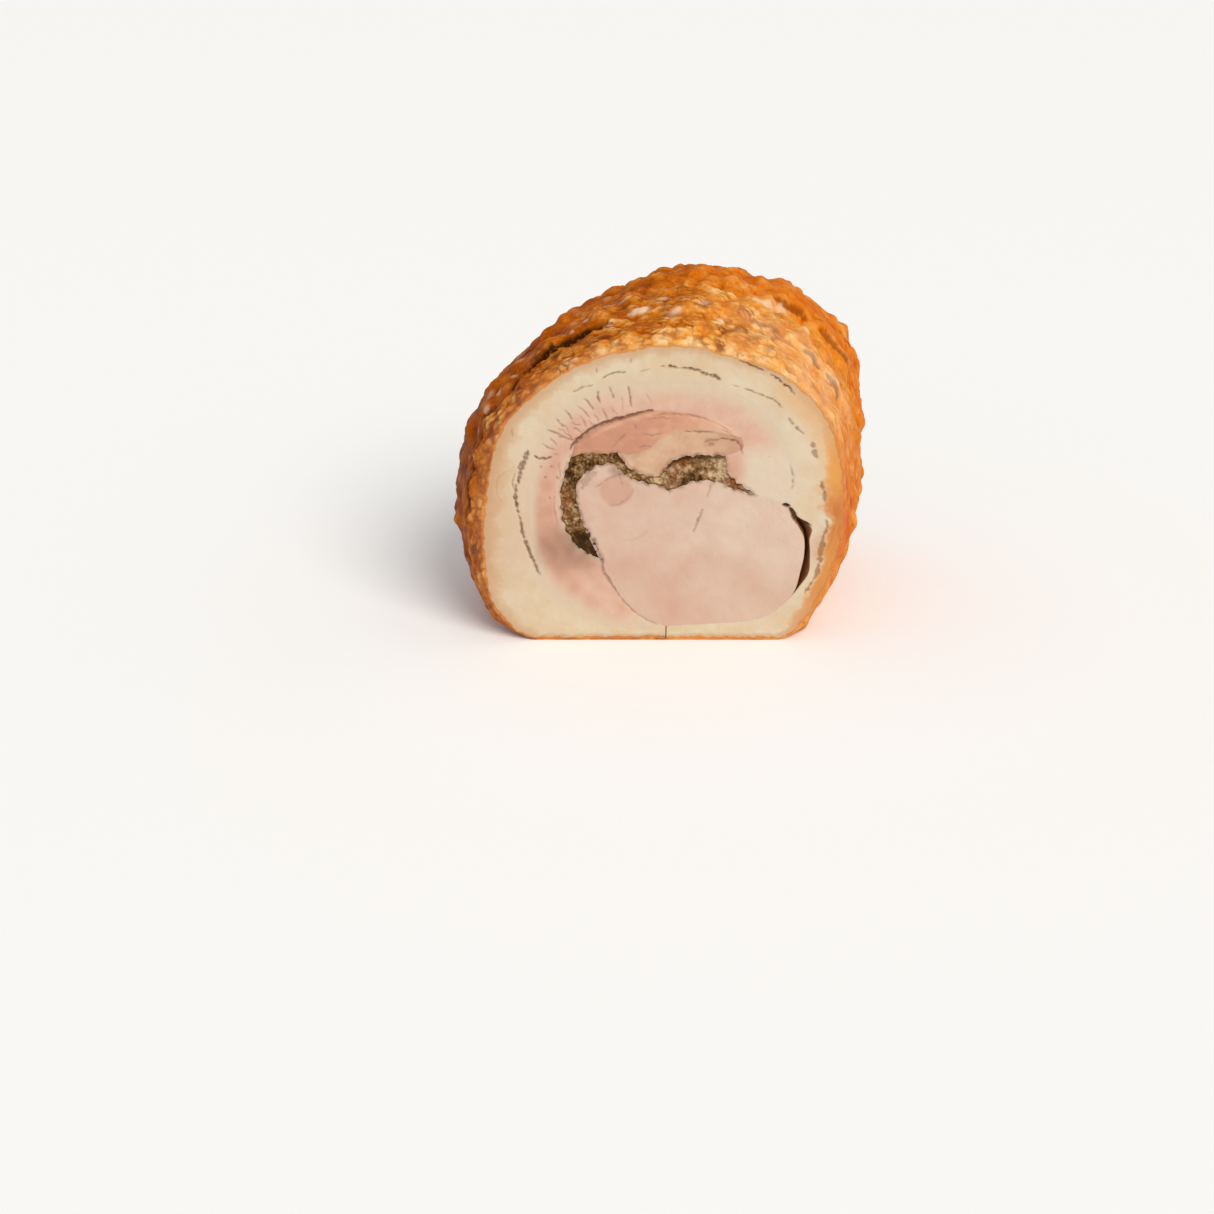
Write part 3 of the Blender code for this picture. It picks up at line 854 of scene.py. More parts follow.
def cooked_layer(name, main, second, neighbour, roughness, cloud_size, fibre):
    """A moist cooked layer: two tones in clouds, masks over them, and a fine bump."""
    material, tree, output = new_material(name)
    place = add(tree, "ShaderNodeTexCoord").outputs["Object"]
    drift = add(tree, "ShaderNodeTexNoise", {
        "Vector": place, "Scale": per_mm(cloud_size), "Detail": 4.0, "Roughness": 0.55,
    }).outputs["Fac"]
    tones = add(tree, "ShaderNodeMapRange", {
        "Value": drift, "From Min": 0.36, "From Max": 0.66,
    }).outputs["Result"]
    body = add(tree, "ShaderNodeMix", {
        HOW_MUCH: tones, UNDER: colour(main), OVER: colour(second),
    }, data_type="RGBA").outputs[MIXED]
    body = lay_over(tree, body, (
        ("neighbour", neighbour), ("pale", PALE_CREAM), ("rosy", ROSY), ("gold", RIND_GOLD),
        ("amber", AMBER), ("smear", SMEAR_AND_SHADE_BROWN), ("brown", ROAST_AND_SHADE_BROWN), ("dark", MARK_BROWN),
    ))
    stretched = add(tree, "ShaderNodeMapping", {
        "Vector": place, "Scale": (1.0, 1.0, fibre),
    }).outputs["Vector"]
    grain = add(tree, "ShaderNodeTexNoise", {
        "Vector": stretched, "Scale": per_mm(0.9), "Detail": 3.0, "Roughness": 0.6,
    }).outputs["Fac"]
    bump = add(tree, "ShaderNodeBump", {
        "Height": grain, "Strength": 0.35, "Distance": 0.25 * MM,
    }).outputs["Normal"]
    shine = add(tree, "ShaderNodeMapRange", {
        "Value": grain, "From Min": 0.3, "From Max": 0.7,
        "To Min": roughness - 0.08, "To Max": roughness + 0.1,
    }).outputs["Result"]
    surface = add(tree, "ShaderNodeBsdfPrincipled", {
        "Base Color": body, "Roughness": shine, "Normal": bump, "IOR": 1.45,
        "Subsurface Weight": 0.2, "Subsurface Radius": (1.0, 0.45, 0.25),
        "Subsurface Scale": 2.0 * MM,
    })
    tree.links.new(surface.outputs[0], output.inputs["Surface"])
    return material


cooked_fat = cooked_layer("cooked_back_fat", "#d6c6aa", "#d2b894", "#d3bda2", 0.46, 9.0, 1.0)
belly_meat = cooked_layer("cooked_belly_lean", "#d8b29b", "#d1a78f", "#d3bda2", 0.48, 6.0, 1.0)
fold_meat = cooked_layer("rosy_folded_lean", "#d29a7c", "#c58c69", "#dcb095", 0.44, 4.0, 1.0)
pocket_fat = cooked_layer("soft_pocket_fat", "#d1ae90", "#c69b7c", "#c08e72", 0.46, 5.0, 1.0)
loin_meat = cooked_layer("cooked_loin", "#d4b9a5", "#cfae99", "#c29178", 0.47, 10.0, 1.0)

# %% [markdown]
# ## The loin
#
# The loin is the pale heart of the roll, one muscle with a very fine grain. A round darker
# spot, the end of a second small muscle, shows on its left, and juice from the herbs has run
# into it just below the narrow strip. The gap on its right looks deep, because no light comes
# back out of it, so its walls are painted dark.

# %% The walls of the gap beside the loin
SLOT_WALL_DEPTHS = (0.0, 2.0, 45.0, 70.0)
SLOT_WALL_SHADES = (0.7, 0.95, 0.95, 0.0)
OPEN_ENOUGH = 0.3


def slot_shade(known, side):
    """Painted shade on the walls of the gap beside the loin, at the layer's side that faces it."""
    inside = np.interp(known["depth"], SLOT_WALL_DEPTHS, SLOT_WALL_SHADES)
    beside = slot_opening(known["across"], known["up"]) > OPEN_ENOUGH
    beside &= known["across"] > SLOT_HEAD[0]
    return inside * beside * (np.abs(known["share"] - side) < 1e-3) * ~known["end"]


# %% Make the loin
LOIN_RISE = 1.5
LOIN_SPOT = (-16.5, 65.0)
LOIN_SPOT_EDGE = (5.4, 7.4)
UNDER_STRIP = (-16.0, 73.6)

loin_outer = [*split_path(
    HERB_EDGES["loin"], [(-31.6, 68), (-14.5, 72.8), (9, 66.5), (30, 65.7)]), LEAN_AND_LOIN_TOP]
loin_bottom = np.vstack([LEAN_AND_LOIN_FOOT, FAT_AND_LOIN[::-1]])
loin_inner = split_path(loin_bottom, [(-9, 13), (4, 6.3), (25, 7.3), (48, 13), (57.5, 31)])
loin_mesh, known = bend_slab("cut_loin", loin_outer, loin_inner, LOIN_RISE, spacing=0.55)
across, up = known["across"], known["up"]
spot = fade(away_from(across, up, LOIN_SPOT), *LOIN_SPOT_EDGE)
# Rosier towards the bottom, partly the loin's own colour and partly painted shade low on the cut
low = fade(up, 26.0, 44.0) * known["front"]
blush = np.clip(0.5 * low + 0.5 * clouds(across, up, 14.0, 75.0), 0.0, 1.0)
blush += 0.25 * fade(across, -8.0, 22.0)
under_strip = fade(away_from(across, up, UNDER_STRIP, wide=1.5), 0.8, 3.4) * known["front"]
# brown paints the roasted end, and painted shade on the walls of the gap beside the loin
paint(
    loin_mesh, neighbour=0.6 * spot, rosy=0.45 * blush, dark=known["dark"],
    pale=0.25 * smooth_step(across, 12.0, 32.0),
    smear=np.maximum(0.75 * known["stain"], 0.5 * under_strip),
    brown=np.maximum(roasted(known, 0.9), slot_shade(known, 1.0)),
)
finish_piece(loin_mesh, loin_meat, "loin")

# %% [markdown]
# ## The lean of the belly
#
# A band of pink lean runs most of the way round. It was cooked slowly, so it is pale, and it
# fades to cream on the right and towards the fat. Short cracks cross it on the upper left.

# %% Make the belly lean
LEAN_RISE = 1.0

lean_outer = split_path(
    FAT_AND_LEAN, [(-48, 38), (-47, 80), (-16, 108), (41, 96.5), (51.3, 74), (51.6, 65)])
lean_inner = [
    LEAN_AND_LOIN_FOOT[::-1], HERB_EDGES["lean"], *split_path(LEAN_AND_FOLD, [(-10, 96.5)]),
    LEAN_AND_FAT, HERB_EDGES["tip"], LEAN_AND_LOIN_TOP,
]
lean_mesh, known = bend_slab("cut_belly_lean", lean_outer, lean_inner, LEAN_RISE)

# %% Colour the belly lean
LEFT_LEAN = (3.3, 0.65)
BELOW_LEG = (-33.0, 41.0)
SMUDGE = (28.5, 74.0)


def pale_side(across, up):
    """1 on the right of the roll, where the lean and the fat are almost the same cream."""
    return smooth_step(across, 29.0, 37.0) * fade(up, 77.0, 88.0)


across, up = known["across"], known["up"]
from_fat, _ = nearest_on(FAT_AND_LEAN[::4], across, up)
from_fold, _ = nearest_on(LEAN_AND_FOLD, across, up)
from_leg, _ = nearest_on(HERB_EDGES["lean"][::3], across, up)
on_left = lobe(angle_of(across, up), *LEFT_LEAN)
on_right = pale_side(across, up)
soft_edge = fade(from_fat, 0.0, 9.0 - 4.5 * on_left)
patchy = 0.35 * clouds(across, up, 11.0, 70.0) * smooth_step(from_fat, 0.0, 3.0)
blush = 0.62 * on_left * (1 - soft_edge) + 0.12 * fade(from_fold, 0.0, 7.0)
blush = np.clip(blush + 0.35 * clouds(across, up, 6.0, 76.0) * (1 - soft_edge), 0.0, 1.0)
blush *= (1 - on_right) * smooth_step(from_leg, 0.5, 4.5)
soft_edge = np.maximum(soft_edge, 0.5 * fade(from_leg, 0.0, 4.0))
# Below the leg's foot the lean is darkened with the herbs' smear colour, partly a herb smear and
# partly painted shade low on the cut
below_leg = 0.48 * fade(away_from(across, up, BELOW_LEG, wide=1.6), 3.0, 15.0)
below_leg *= (1 + 0.35 * clouds(across, up, 4.0)) * known["front"]
smudge = 0.45 * fade(away_from(across, up, SMUDGE, high=1.3), 1.5, 7.5)
paint(
    lean_mesh, neighbour=np.maximum(soft_edge, on_right) + patchy * (1 - 0.6 * on_right),
    rosy=np.maximum(blush, smudge), pale=0.42 * on_right, dark=known["dark"],
    smear=np.maximum(below_leg, 0.45 * known["stain"]), brown=roasted(known, 0.95),
)
finish_piece(lean_mesh, belly_meat, "belly_lean")

# %% [markdown]
# ## The folded strip and its pocket of fat
#
# Above the herbs a strip of darker, rosier lean is folded in, with a pocket of soft fat under
# it. The strip is browner at its left end, where the herbs have stained it, and it pales
# towards its right end and along the pocket.

# %% Make the folded strip
FOLD_BULGE = -0.3

fold_outer = split_path(LEAN_AND_FOLD, [(-21, 92.5), (6, 97.5)])
fold_inner = [HERB_EDGES["fold"], *split_path(FOLD_AND_FAT, [(10, 89)])]
fold_mesh, known = bend_slab(
    "cut_pink_fold", fold_outer, fold_inner, LEAN_RISE, FOLD_BULGE, spacing=0.45)

# %% Colour the folded strip
across, up = known["across"], known["up"]
from_lean, _ = nearest_on(LEAN_AND_FOLD, across, up)
from_pocket, _ = nearest_on(FOLD_AND_FAT, across, up)
left_end = fade(across, -33.0, -24.0)
right_end = smooth_step(across, 6.0, 26.0)
lip = 0.5 * bump(from_lean, 1.8, 0.9) * fade(across, -4.0, 6.0)
pale_lip = bump(from_lean, 2.0, 0.7) * bump(across, -18.0, 9.0)
pale_rim = fade(from_pocket, 0.0, 2.4) * smooth_step(across, -3.0, 4.0)
streaks = 0.5 + clouds(across / 2.5, up, 2.5, 77.0)
soft_spots = np.clip(1.6 * clouds(across / 1.6, up, 3.4, 85.0) - 0.15, 0.0, 0.55)
soft_spots = np.maximum(soft_spots, 0.7 * pale_rim) * smooth_step(across, -18.0, -8.0)
soft_spots = np.maximum(soft_spots, 0.75 * pale_lip)
rosy = (0.9 - 0.65 * smooth_step(across, -9.0, 1.0)) * (0.52 + 0.8 * streaks)
paint(
    fold_mesh, neighbour=np.maximum(0.95 * right_end, soft_spots),
    rosy=rosy * (1 - right_end) - lip, dark=known["dark"],
    smear=np.maximum(0.25 * left_end * streaks, 0.5 * known["stain"]),
    brown=roasted(known, 0.95),
)
finish_piece(fold_mesh, fold_meat, "pink_fold")

# %% Make the pocket of fat
POCKET_RISE = -1.0
POCKET_SINK = 0.4
BROWN_SPOT = (20.3, 84.3)

pocket_outer = [*split_path(FOLD_AND_FAT, [(6, 88.5)]), LEAN_AND_FAT]
pocket_inner = split_path(HERB_EDGES["fat"], [(4, 76), (19, 79.5)])
pocket_mesh, known = bend_slab(
    "cut_inner_fat", pocket_outer, pocket_inner, POCKET_RISE, POCKET_SINK, spacing=0.45)
across, up = known["across"], known["up"]
lean_side = smooth_step(across, 14.0, 30.0)
streaks = 0.5 + clouds(across / 2.0, up, 2.2, 78.0)
on_spot = fade(away_from(across, up, BROWN_SPOT, wide=1.4), 0.2, 1.5) * known["front"]
paint(
    pocket_mesh, neighbour=0.55 * lean_side, rosy=0.4 * streaks * lean_side, dark=known["dark"],
    smear=np.maximum(0.6 * known["stain"], 0.5 * on_spot), brown=roasted(known, 0.9),
)
finish_piece(pocket_mesh, pocket_fat, "inner_fat")

# %% [markdown]
# ## The herbs
#
# Fennel, rosemary, garlic and pepper are chopped into grains of about a millimetre and pressed
# by the roll. A noise alone looks like mould, so the grains are cells: each has a domed top in
# the mesh and a tone of its own, and dark gaps between them. The cells come from a Voronoi
# pattern, which is worked out for each point here, so that shape and colour agree.

# %% Grains
def cells(x, y, size, layer=0.0):
    """For each place: distance to the nearest cell centre, to the next, and the cell's own tone."""
    found = [noise.voronoi((a, b, layer)) for a, b in zip(x / size, y / size)]
    near = np.array([distances[0] for distances, _ in found])
    second = np.array([distances[1] for distances, _ in found])
    tone = np.array([math.sin(centres[0].x * 12.9 + centres[0].y * 78.2) for _, centres in found])
    return near, second, np.modf(np.abs(tone) * 437.5)[0]


# %% Make the herbs
GRAIN = 1.15
GRAIN_DOME = 0.4
GRAIN_GAP = 0.25
HERB_SINK = 0.6
HERB_RISE = -2.0
CRUMBLE = ((0.9, 2.4, 86.0), (0.7, 1.1, 87.0))

herb_outer = [
    HERB_EDGES["lean"], HERB_EDGES["fold"], *split_path(HERB_EDGES["fat"], [(0.3, 71.3)]),
    HERB_EDGES["tip"],
]
herb_inner = split_path(HERB_EDGES["loin"], [(-31.6, 68), (-19, 76.8), (0, 67.4), (22, 69)])
herb_mesh, known = bend_slab(
    "cut_herbs", herb_outer, herb_inner, HERB_RISE, HERB_SINK, spacing=0.33)
across, up = known["across"], known["up"]
near, second, tone = cells(across, up, GRAIN, 1.0)
dome = np.clip(1 - near / 0.7, 0.0, 1.0)
gap = fade(second - near, 0.03, 0.22)
gap *= np.clip(0.5 + 1.6 * clouds(across, up, 2.6, 83.0), 0.0, 1.0)
relief = GRAIN_DOME * dome * (0.3 + 0.9 * tone) - GRAIN_GAP * gap
relief += layered_clouds(across, up, CRUMBLE)
relief *= known["front"] | known["end"]
places = points_of(herb_mesh)
places[:, 1] += np.where(known["end"], 1.0, -1.0) * relief * MM
herb_mesh.vertices.foreach_set("co", places.ravel())

# %% Light and dark herbs
LEG_BEND = (-32.0, 74.0)
UNDER_POCKET = smooth_path([(4, 75.5), (7, 78), (13, 79.3), (25, 79.2)])
HEAPS = ((1.1, 5.5, 71.0), (0.9, 2.2, 72.0), (0.7, 0.8, 84.0))
# Patches that paprika and meat juice have reddened: (place, reach)
RUSSET_PATCHES = [
    ((8.0, 75.0), (6.0, 4.5)), ((31.0, 68.5), (7.0, 4.0)), ((-35.5, 60.0), (2.5, 7.0)),
    ((5.0, 68.5), (4.0, 2.5)),
]

in_mass = smooth_step(across, -1.0, 6.0)
at_foot = fade(up, 42.0, 50.0)
# Each part of the filling, and how much lighter it is than the rest
parts = {
    "leg": (fade(across, -26.0, -16.0), 0.1),
    "bend of the leg": (fade(away_from(across, up, LEG_BEND), 4.0, 12.0), -0.2),
    # Painted shade: the leg's foot, low on the cut, is darker
    "foot of the leg": (at_foot, -0.55),
    "strip": (bump(across, -4.0, 8.0) * (1 - in_mass), 0.36),
    "mass": (in_mass, 0.08),
    "left of the mass": (bump(across, 5.0, 6.0) * fade(up, 70.0, 73.0), 0.17),
    "right of the mass": (smooth_step(across, 16.0, 21.0), 0.3),
}
shade = 0.44 + sum(lighter * part for part, lighter in parts.values())
# The domed tops of the grains are painted a little lighter, as light on them
shade += 0.5 * layered_clouds(across, up, HEAPS) + 0.16 * (tone - 0.5) + 0.08 * (dome - 0.4)
under_pocket, _ = nearest_on(UNDER_POCKET, across, up)
shadow = np.maximum.reduce([
    0.45 * gap, 0.6 * at_foot, 0.85 * fade(under_pocket, 0.4, 1.9),
    fade(known["border"], 0.1, 1.1) * (0.5 + clouds(across, up, 2.0, 73.0)),
])
russet = np.maximum.reduce([
    fade(away_from(across, up, place, *reach), 0.4, 1.1) for place, reach in RUSSET_PATCHES
])
russet *= np.clip(0.5 + 1.1 * clouds(across, up, 2.0, 79.0), 0.0, 0.8)
paint(herb_mesh, tone=shade, dark=shadow, brown=roasted(known, 0.9), russet=russet)

# %% Chopped herb material
HERB_STOPS = [
    (0.0, "#332009"), (0.25, "#5a401d"), (0.5, "#86613a"), (0.75, "#a98661"), (1.0, "#ccb18c"),
]
RUSSET = "#8c4c25"
HERB_SHADOW = "#42270f"
ROASTED_HERBS = "#5b3a1c"


def chopped_herbs(name):
    """Dry, rough grains from dark olive to straw, without a shine."""
    material, tree, output = new_material(name)
    place = add(tree, "ShaderNodeTexCoord").outputs["Object"]
    tone = add(tree, "ShaderNodeAttribute", attribute_name="tone").outputs["Fac"]
    fine = add(tree, "ShaderNodeTexNoise", {
        "Vector": place, "Scale": per_mm(0.8), "Detail": 3.0,
    }).outputs["Fac"]
    mixed = add(tree, "ShaderNodeMath", {0: fine, 1: 0.4, 2: tone}, operation="MULTIPLY_ADD")
    centred = add(tree, "ShaderNodeMath", {0: mixed.outputs[0], 1: 0.2}, operation="SUBTRACT")
    body = add(tree, "ShaderNodeValToRGB", {"Fac": centred.outputs[0]}, stops=HERB_STOPS)
    body = lay_over(tree, body.outputs["Color"], (
        ("russet", RUSSET), ("dark", HERB_SHADOW), ("brown", ROASTED_HERBS),
    ))
    bump = add(tree, "ShaderNodeBump", {
        "Height": fine, "Strength": 0.5, "Distance": 0.3 * MM,
    }).outputs["Normal"]
    surface = add(tree, "ShaderNodeBsdfPrincipled", {
        "Base Color": body, "Roughness": 0.75, "Normal": bump, "IOR": 1.45,
        "Specular IOR Level": 0.15,
    })
    tree.links.new(surface.outputs[0], output.inputs["Surface"])
    return material


finish_piece(herb_mesh, chopped_herbs("chopped_herbs"), "herb_filling")

# %% [markdown]
# ## The fat under the rind
#
# The fat is an open ring: its seam lies under the roll. It is cream in the middle, turns gold
# where it touches the hot rind, most of all on the right, and its inner wall stands off from
# the loin where the gap has opened. Its outer side is the inner side of the rind.

# %% The rind's inner side
RIND = 1.4
RIND_WAVES = ((0.7, 5.0, 50.0), (0.7, 1.9, 51.0))
RIND_GROWTH = 4.4
RIND_FOOT = (2.0, 14.0)
END_THIN = (98.0, 108.0)

skin_angle = angle_of(*SKIN_PATH.T)


def rind_inside(across, up, depth):
    """A point of the rind's inner side, below a point of the skin's cut edge."""
    angle = angle_of(across, up)
    skin = skin_place(across, up, depth, 0.0)
    thick = RIND + layered_clouds(across, up, RIND_WAVES)
    growth = RIND_GROWTH * grown_at(depth) * (1 - 0.55 * smooth_step(depth, *END_THIN))
    thick = thick + growth * smooth_step(skin[:, 2], *RIND_FOOT)
    skin[:, 0] -= thick * np.cos(angle)
    skin[:, 2] -= thick * np.sin(angle)
    return skin


# %% Make the fat ring
FAT_RISE = -1.5

fat_outer = split_path(
    SKIN_PATH,
    [(50, -SETTLE), (71, 32), (74, 64), (59, 102), (27, 120.5), (-23, 120.3), (-62, 88),
     (-70, 38), (-49, -SETTLE)])
ring_inner = np.vstack([FAT_AND_LOIN[::-1], FAT_AND_LEAN[::-1]])
fat_inner = split_path(
    ring_inner,
    [(40, 9), (57.5, 31), (50, 60), (44, 93), (20, 107.5), (-20, 107), (-46, 80), (-49, 40),
     (-30, 11)])
fat_mesh, known = bend_slab(
    "cut_fat", fat_outer, fat_inner, FAT_RISE, outer_place=rind_inside, inner_place=slot_place,
    spacing=0.55)

# %% Colour the fat
# Directions round the roll, in radians: (place, width)
LEFT_FAT = (3.0, 0.8)
RIGHT_FAT = (-0.1, 0.62)
PEACH_FAT = (0.55, 0.4)
ROSY_FAT = (-2.95, 0.35)
FLAP = (62.5, 40.0)
GOLD_WAVES = ((0.8, 7.0, 21.0), (0.4, 1.8, 22.0))

across, up, front = known["across"], known["up"], known["front"]
turn = angle_of(across, up)
from_lean, _ = nearest_on(FAT_AND_LEAN[::4], across, up)
from_skin, _ = nearest_on(SKIN_PATH[::4], across, up)
from_rind = from_skin - RIND
left, right = lobe(turn, *LEFT_FAT), lobe(turn, *RIGHT_FAT)
wander = np.clip(1 + layered_clouds(across, up, GOLD_WAVES), 0.3, 1.5)
gold_reach = (1.2 + 8.0 * right) * wander
gold = fade(from_rind, 0.25 * gold_reach, gold_reach) * np.clip(1.5 * right, 0.0, 1.0)
amber = 0.66 * gold * fade(up, 56.0, 72.0) * (0.55 + 0.45 * smooth_step(up, 38.0, 50.0))
amber *= np.clip(0.85 + 0.4 * clouds(across * 2.0, up / 2.0, 3.0, 25.0), 0.2, 1.0)
peach = 0.48 * lobe(turn, *PEACH_FAT) * fade(from_rind, 2.0, 13.0)
tan = fade(from_rind, -0.8, (3.0 + 5.5 * left) * wander) * (0.5 + 0.2 * left) * (1 - right)
flap = 0.4 * fade(away_from(across, up, FLAP, high=1.8), 1.0, 7.0) * front
strip = 0.8 * stroke(FAT_STRIP, across, up, 0.6)
lean_side = fade(from_lean, 0.0, 5.0)
white_side = smooth_step(across, 10.0, 30.0) * smooth_step(from_rind, 4.0, 9.0)
# brown paints the tan by the rind, the streak in the fat, the roasted end, and painted shade on the
# walls of the gap
paint(
    fat_mesh, neighbour=np.maximum(lean_side, 0.5 * left) * front,
    rosy=np.maximum.reduce([0.25 * tan, 0.2 * lobe(turn, *ROSY_FAT), flap]),
    pale=np.maximum(0.42 * pale_side(across, up) * lean_side, 0.25 * white_side) * front,
    gold=np.maximum(gold, np.maximum(0.45 * tan, peach) * front), amber=amber * front,
    brown=np.maximum.reduce([
        np.maximum(0.4 * tan, strip) * front, roasted(known, 0.75), slot_shade(known, 1.0),
    ]),
    dark=1.25 * known["dark"],
)
finish_piece(fat_mesh, cooked_fat, "fat_cap")

# %% [markdown]
# ## The crackling
#
# The rind dried, then puffed in the heat. It has bubbles of two to four millimetres that are
# stretched round the roll, larger blisters, long flaky wrinkles, and dark slits where the
# string bit in. All of that is relief in the mesh, about a point every 0.7 mm, so the outline
# is crisp from any side. The shell is two sheets that are bridged along their edges: a fine
# one outside and a coarse one against the fat, where nobody looks.

# %% Two sheets, bridged
SKIN_COLUMNS = 590
SKIN_ROWS = 154
INNER_ROWS = 8
# The first 36% of the rows cover the first 27% of the depth, so they are closer near the cut
FRONT_ROWS = (0.36, 0.27)
SHARP_RIND = math.radians(60)


def rind_sheets(name):
    """A closed shell in flat form: X round the roll, Z its depth, Y 0 outside and 1 inside."""
    shape = bmesh.new()
    two_sheets(shape, (SKIN_COLUMNS, SKIN_ROWS), (SKIN_COLUMNS, INNER_ROWS))
    mesh = bpy.data.meshes.new(name)
    shape.to_mesh(mesh)
    shape.free()
    mesh.set_sharp_from_angle(angle=SHARP_RIND)
    return mesh


# %% Relief of the crackling
BLISTER_SIZE = 9.0
BLISTER_HEIGHT = 2.6
BLISTER_REACH = 0.62
BLISTER_FLOOR = 0.35
RIDGE_SIZE = 22.0
RIDGE_HEIGHT = 2.0
EDGE_RELIEF = 0.25

# Each kind of relief: (length round the roll, width along it), and its height
PUFF, PUFF_HEIGHT = (13.0, 7.0), 1.1
CRUMB, CRUMB_HEIGHT = (3.9, 1.9), 0.6
BUBBLE, BUBBLE_HEIGHT = (4.6, 3.7), 0.7
WRINKLE, WRINKLE_HEIGHT = (15.0, 2.6), 0.7

# Slits where a string bit in, painted dark as the shade inside them: (width, strength, points), a
# point is (degrees, depth)
STRING_SLITS = [
    (3.8, 1.0, [(110, 19.4), (113, 19.6), (120, 20.2), (128, 20.0), (136, 19.2), (142, 17.6),
                (145, 16.4)]),
    (3.9, 1.0, [(146, 13.4), (151, 13.2), (156, 13.8)]),
    (1.8, 0.7, [(158, 10.0), (166, 8.6), (174, 7.5), (181, 6.6), (188, 6)]),
    (1.4, 0.4, [(96, 17.6), (88, 16.2), (80, 14.2)]),
    (1.8, 0.7, [(64, 20.4), (60, 20.8), (56, 20.4)]),
    (2.2, 0.9, [(47, 19.6), (43, 20.4), (40, 20.8)]),
    (2.2, 0.9, [(37, 20.6), (33, 18.8), (30, 17.2)]),
    (1.0, 0.4, [(98, 46.5), (88, 38), (78, 38), (66, 48)]),
    (2.8, 0.75, [(60, 50.2), (54, 50.6), (49, 50.2)]),
    (2.4, 0.7, [(44, 49.4), (38, 50.2), (30, 50)]),
]
# Depth of the first string round the roll: it lies nearer to the cut on the left
FIRST_TURNS = (60, 113, 142, 150, 160, 174, 188, 205)
FIRST_DEPTHS = (16.0, 19.5, 17.6, 13.5, 9.8, 7.5, 6.0, 6.0)
# Pale puffed blisters, pale partly by their own colour and partly as a painted greasy sheen:
# (degrees, depth, length round the roll, width, strength)
PALE_BLISTERS_AND_SHEEN = [
    (99, 21.7, 9, 4.5, 0.9), (88, 17.5, 6, 3, 0.8), (74, 15.6, 4, 3.4, 0.7),
    (63, 46.0, 11, 5, 0.7), (57, 47.6, 8, 5, 0.6), (49, 32.1, 4.5, 3.6, 0.8),
    (116, 27.5, 3.2, 2.6, 0.5), (121, 24, 2.6, 2, 0.5), (127, 26.5, 3.4, 2.6, 0.45),
    (133, 24, 2.4, 2, 0.5), (143, 22.5, 3, 2.4, 0.45), (149, 20.5, 4, 2.6, 0.5),
    (155, 19.5, 4.5, 3, 0.5), (162, 16.5, 4.5, 2.4, 0.4), (170, 17, 3, 2.4, 0.35),
    (33, 21.5, 6, 3.2, 0.7), (104, 32, 5, 4, 0.45), (111, 30, 5, 3.5, 0.45),
    (92, 27, 5, 3, 0.4), (80, 22, 5, 3, 0.4), (140, 30, 6, 3.5, 0.3), (152, 24, 5, 4, 0.3),
]


def old_relief(arc, depth):
    """The blisters and ridges that the CAD model has too."""
    near, _, _ = cells(arc, depth, BLISTER_SIZE)
    ridge = clouds(arc, depth * 1.6, RIDGE_SIZE, 40.0 / RIDGE_SIZE)
    blister = np.maximum(0.0, 1 - near / BLISTER_REACH)
    return BLISTER_HEIGHT * (blister - BLISTER_FLOOR) + RIDGE_HEIGHT * ridge


def billows(arc, depth, size, layer):
    """Puffed folds of about this size: 1 on their tops, 0 in the thin creases between them."""
    bend = clouds(arc / size[0], depth / size[1], 2.3, layer + 0.5)
    value = clouds(arc / size[0] + 0.8 * bend, depth / size[1] + 0.5 * bend, 1.0, layer)
    return np.clip(1.9 * np.abs(value), 0.0, 1.0) ** 0.75


def bubbles(arc, depth, size, layer):
    """Round-topped bubbles of about this size, the thin gaps between them, and each one's tone."""
    bent = layered_clouds(arc, depth, ((0.5, 5.0, layer + 0.5), (0.35, 1.9, layer + 0.7)))
    slid = layered_clouds(arc, depth, ((0.5, 5.0, layer + 0.9), (0.35, 1.9, layer + 0.3)))
    near, second, tone = cells(arc / size[0] + bent, depth / size[1] + slid, 1.0, layer)
    dome = np.sqrt(np.clip(1 - (near / 0.66) ** 2, 0.0, 1.0))
    return dome, fade(second - near, 0.04, 0.3), tone


# %% Lay out the crackling
# Columns are closer together where they show, and wider under the roll
UNDERSIDE_WEIGHT = 0.35

crackling_mesh = rind_sheets("crackling")
flat = points_of(crackling_mesh)
skin_length = lengths_along(SKIN_PATH)
degrees = np.degrees(np.unwrap(skin_angle))
column_weight = np.where(SKIN_PATH[:, 1] < 0.0, UNDERSIDE_WEIGHT, 1.0)
weighted = np.concatenate([[0.0], np.cumsum(np.diff(skin_length) * column_weight[1:])])
arc = np.interp(flat[:, 0] * weighted[-1], weighted, skin_length)
across, up = (np.interp(arc, skin_length, side) for side in SKIN_PATH.T)
turn = np.interp(arc, skin_length, degrees)
rows_share = np.interp(flat[:, 2], (0.0, FRONT_ROWS[0], 1.0), (0.0, FRONT_ROWS[1], 1.0))
depth = rows_share * end_depth(across, up)
outside = flat[:, 1] < 0.5
grown = grown_at(depth)
print("crackling: columns on average", round(skin_length[-1] / SKIN_COLUMNS, 2), "mm apart")


def arc_at(angle):
    """Length along the skin's edge at an angle round the roll."""
    return np.interp(angle, degrees, skin_length)


def round_at(place, width):
    """1 at a direction round the roll, in radians, fading to 0 over its width."""
    return lobe(np.radians(turn), place, width)


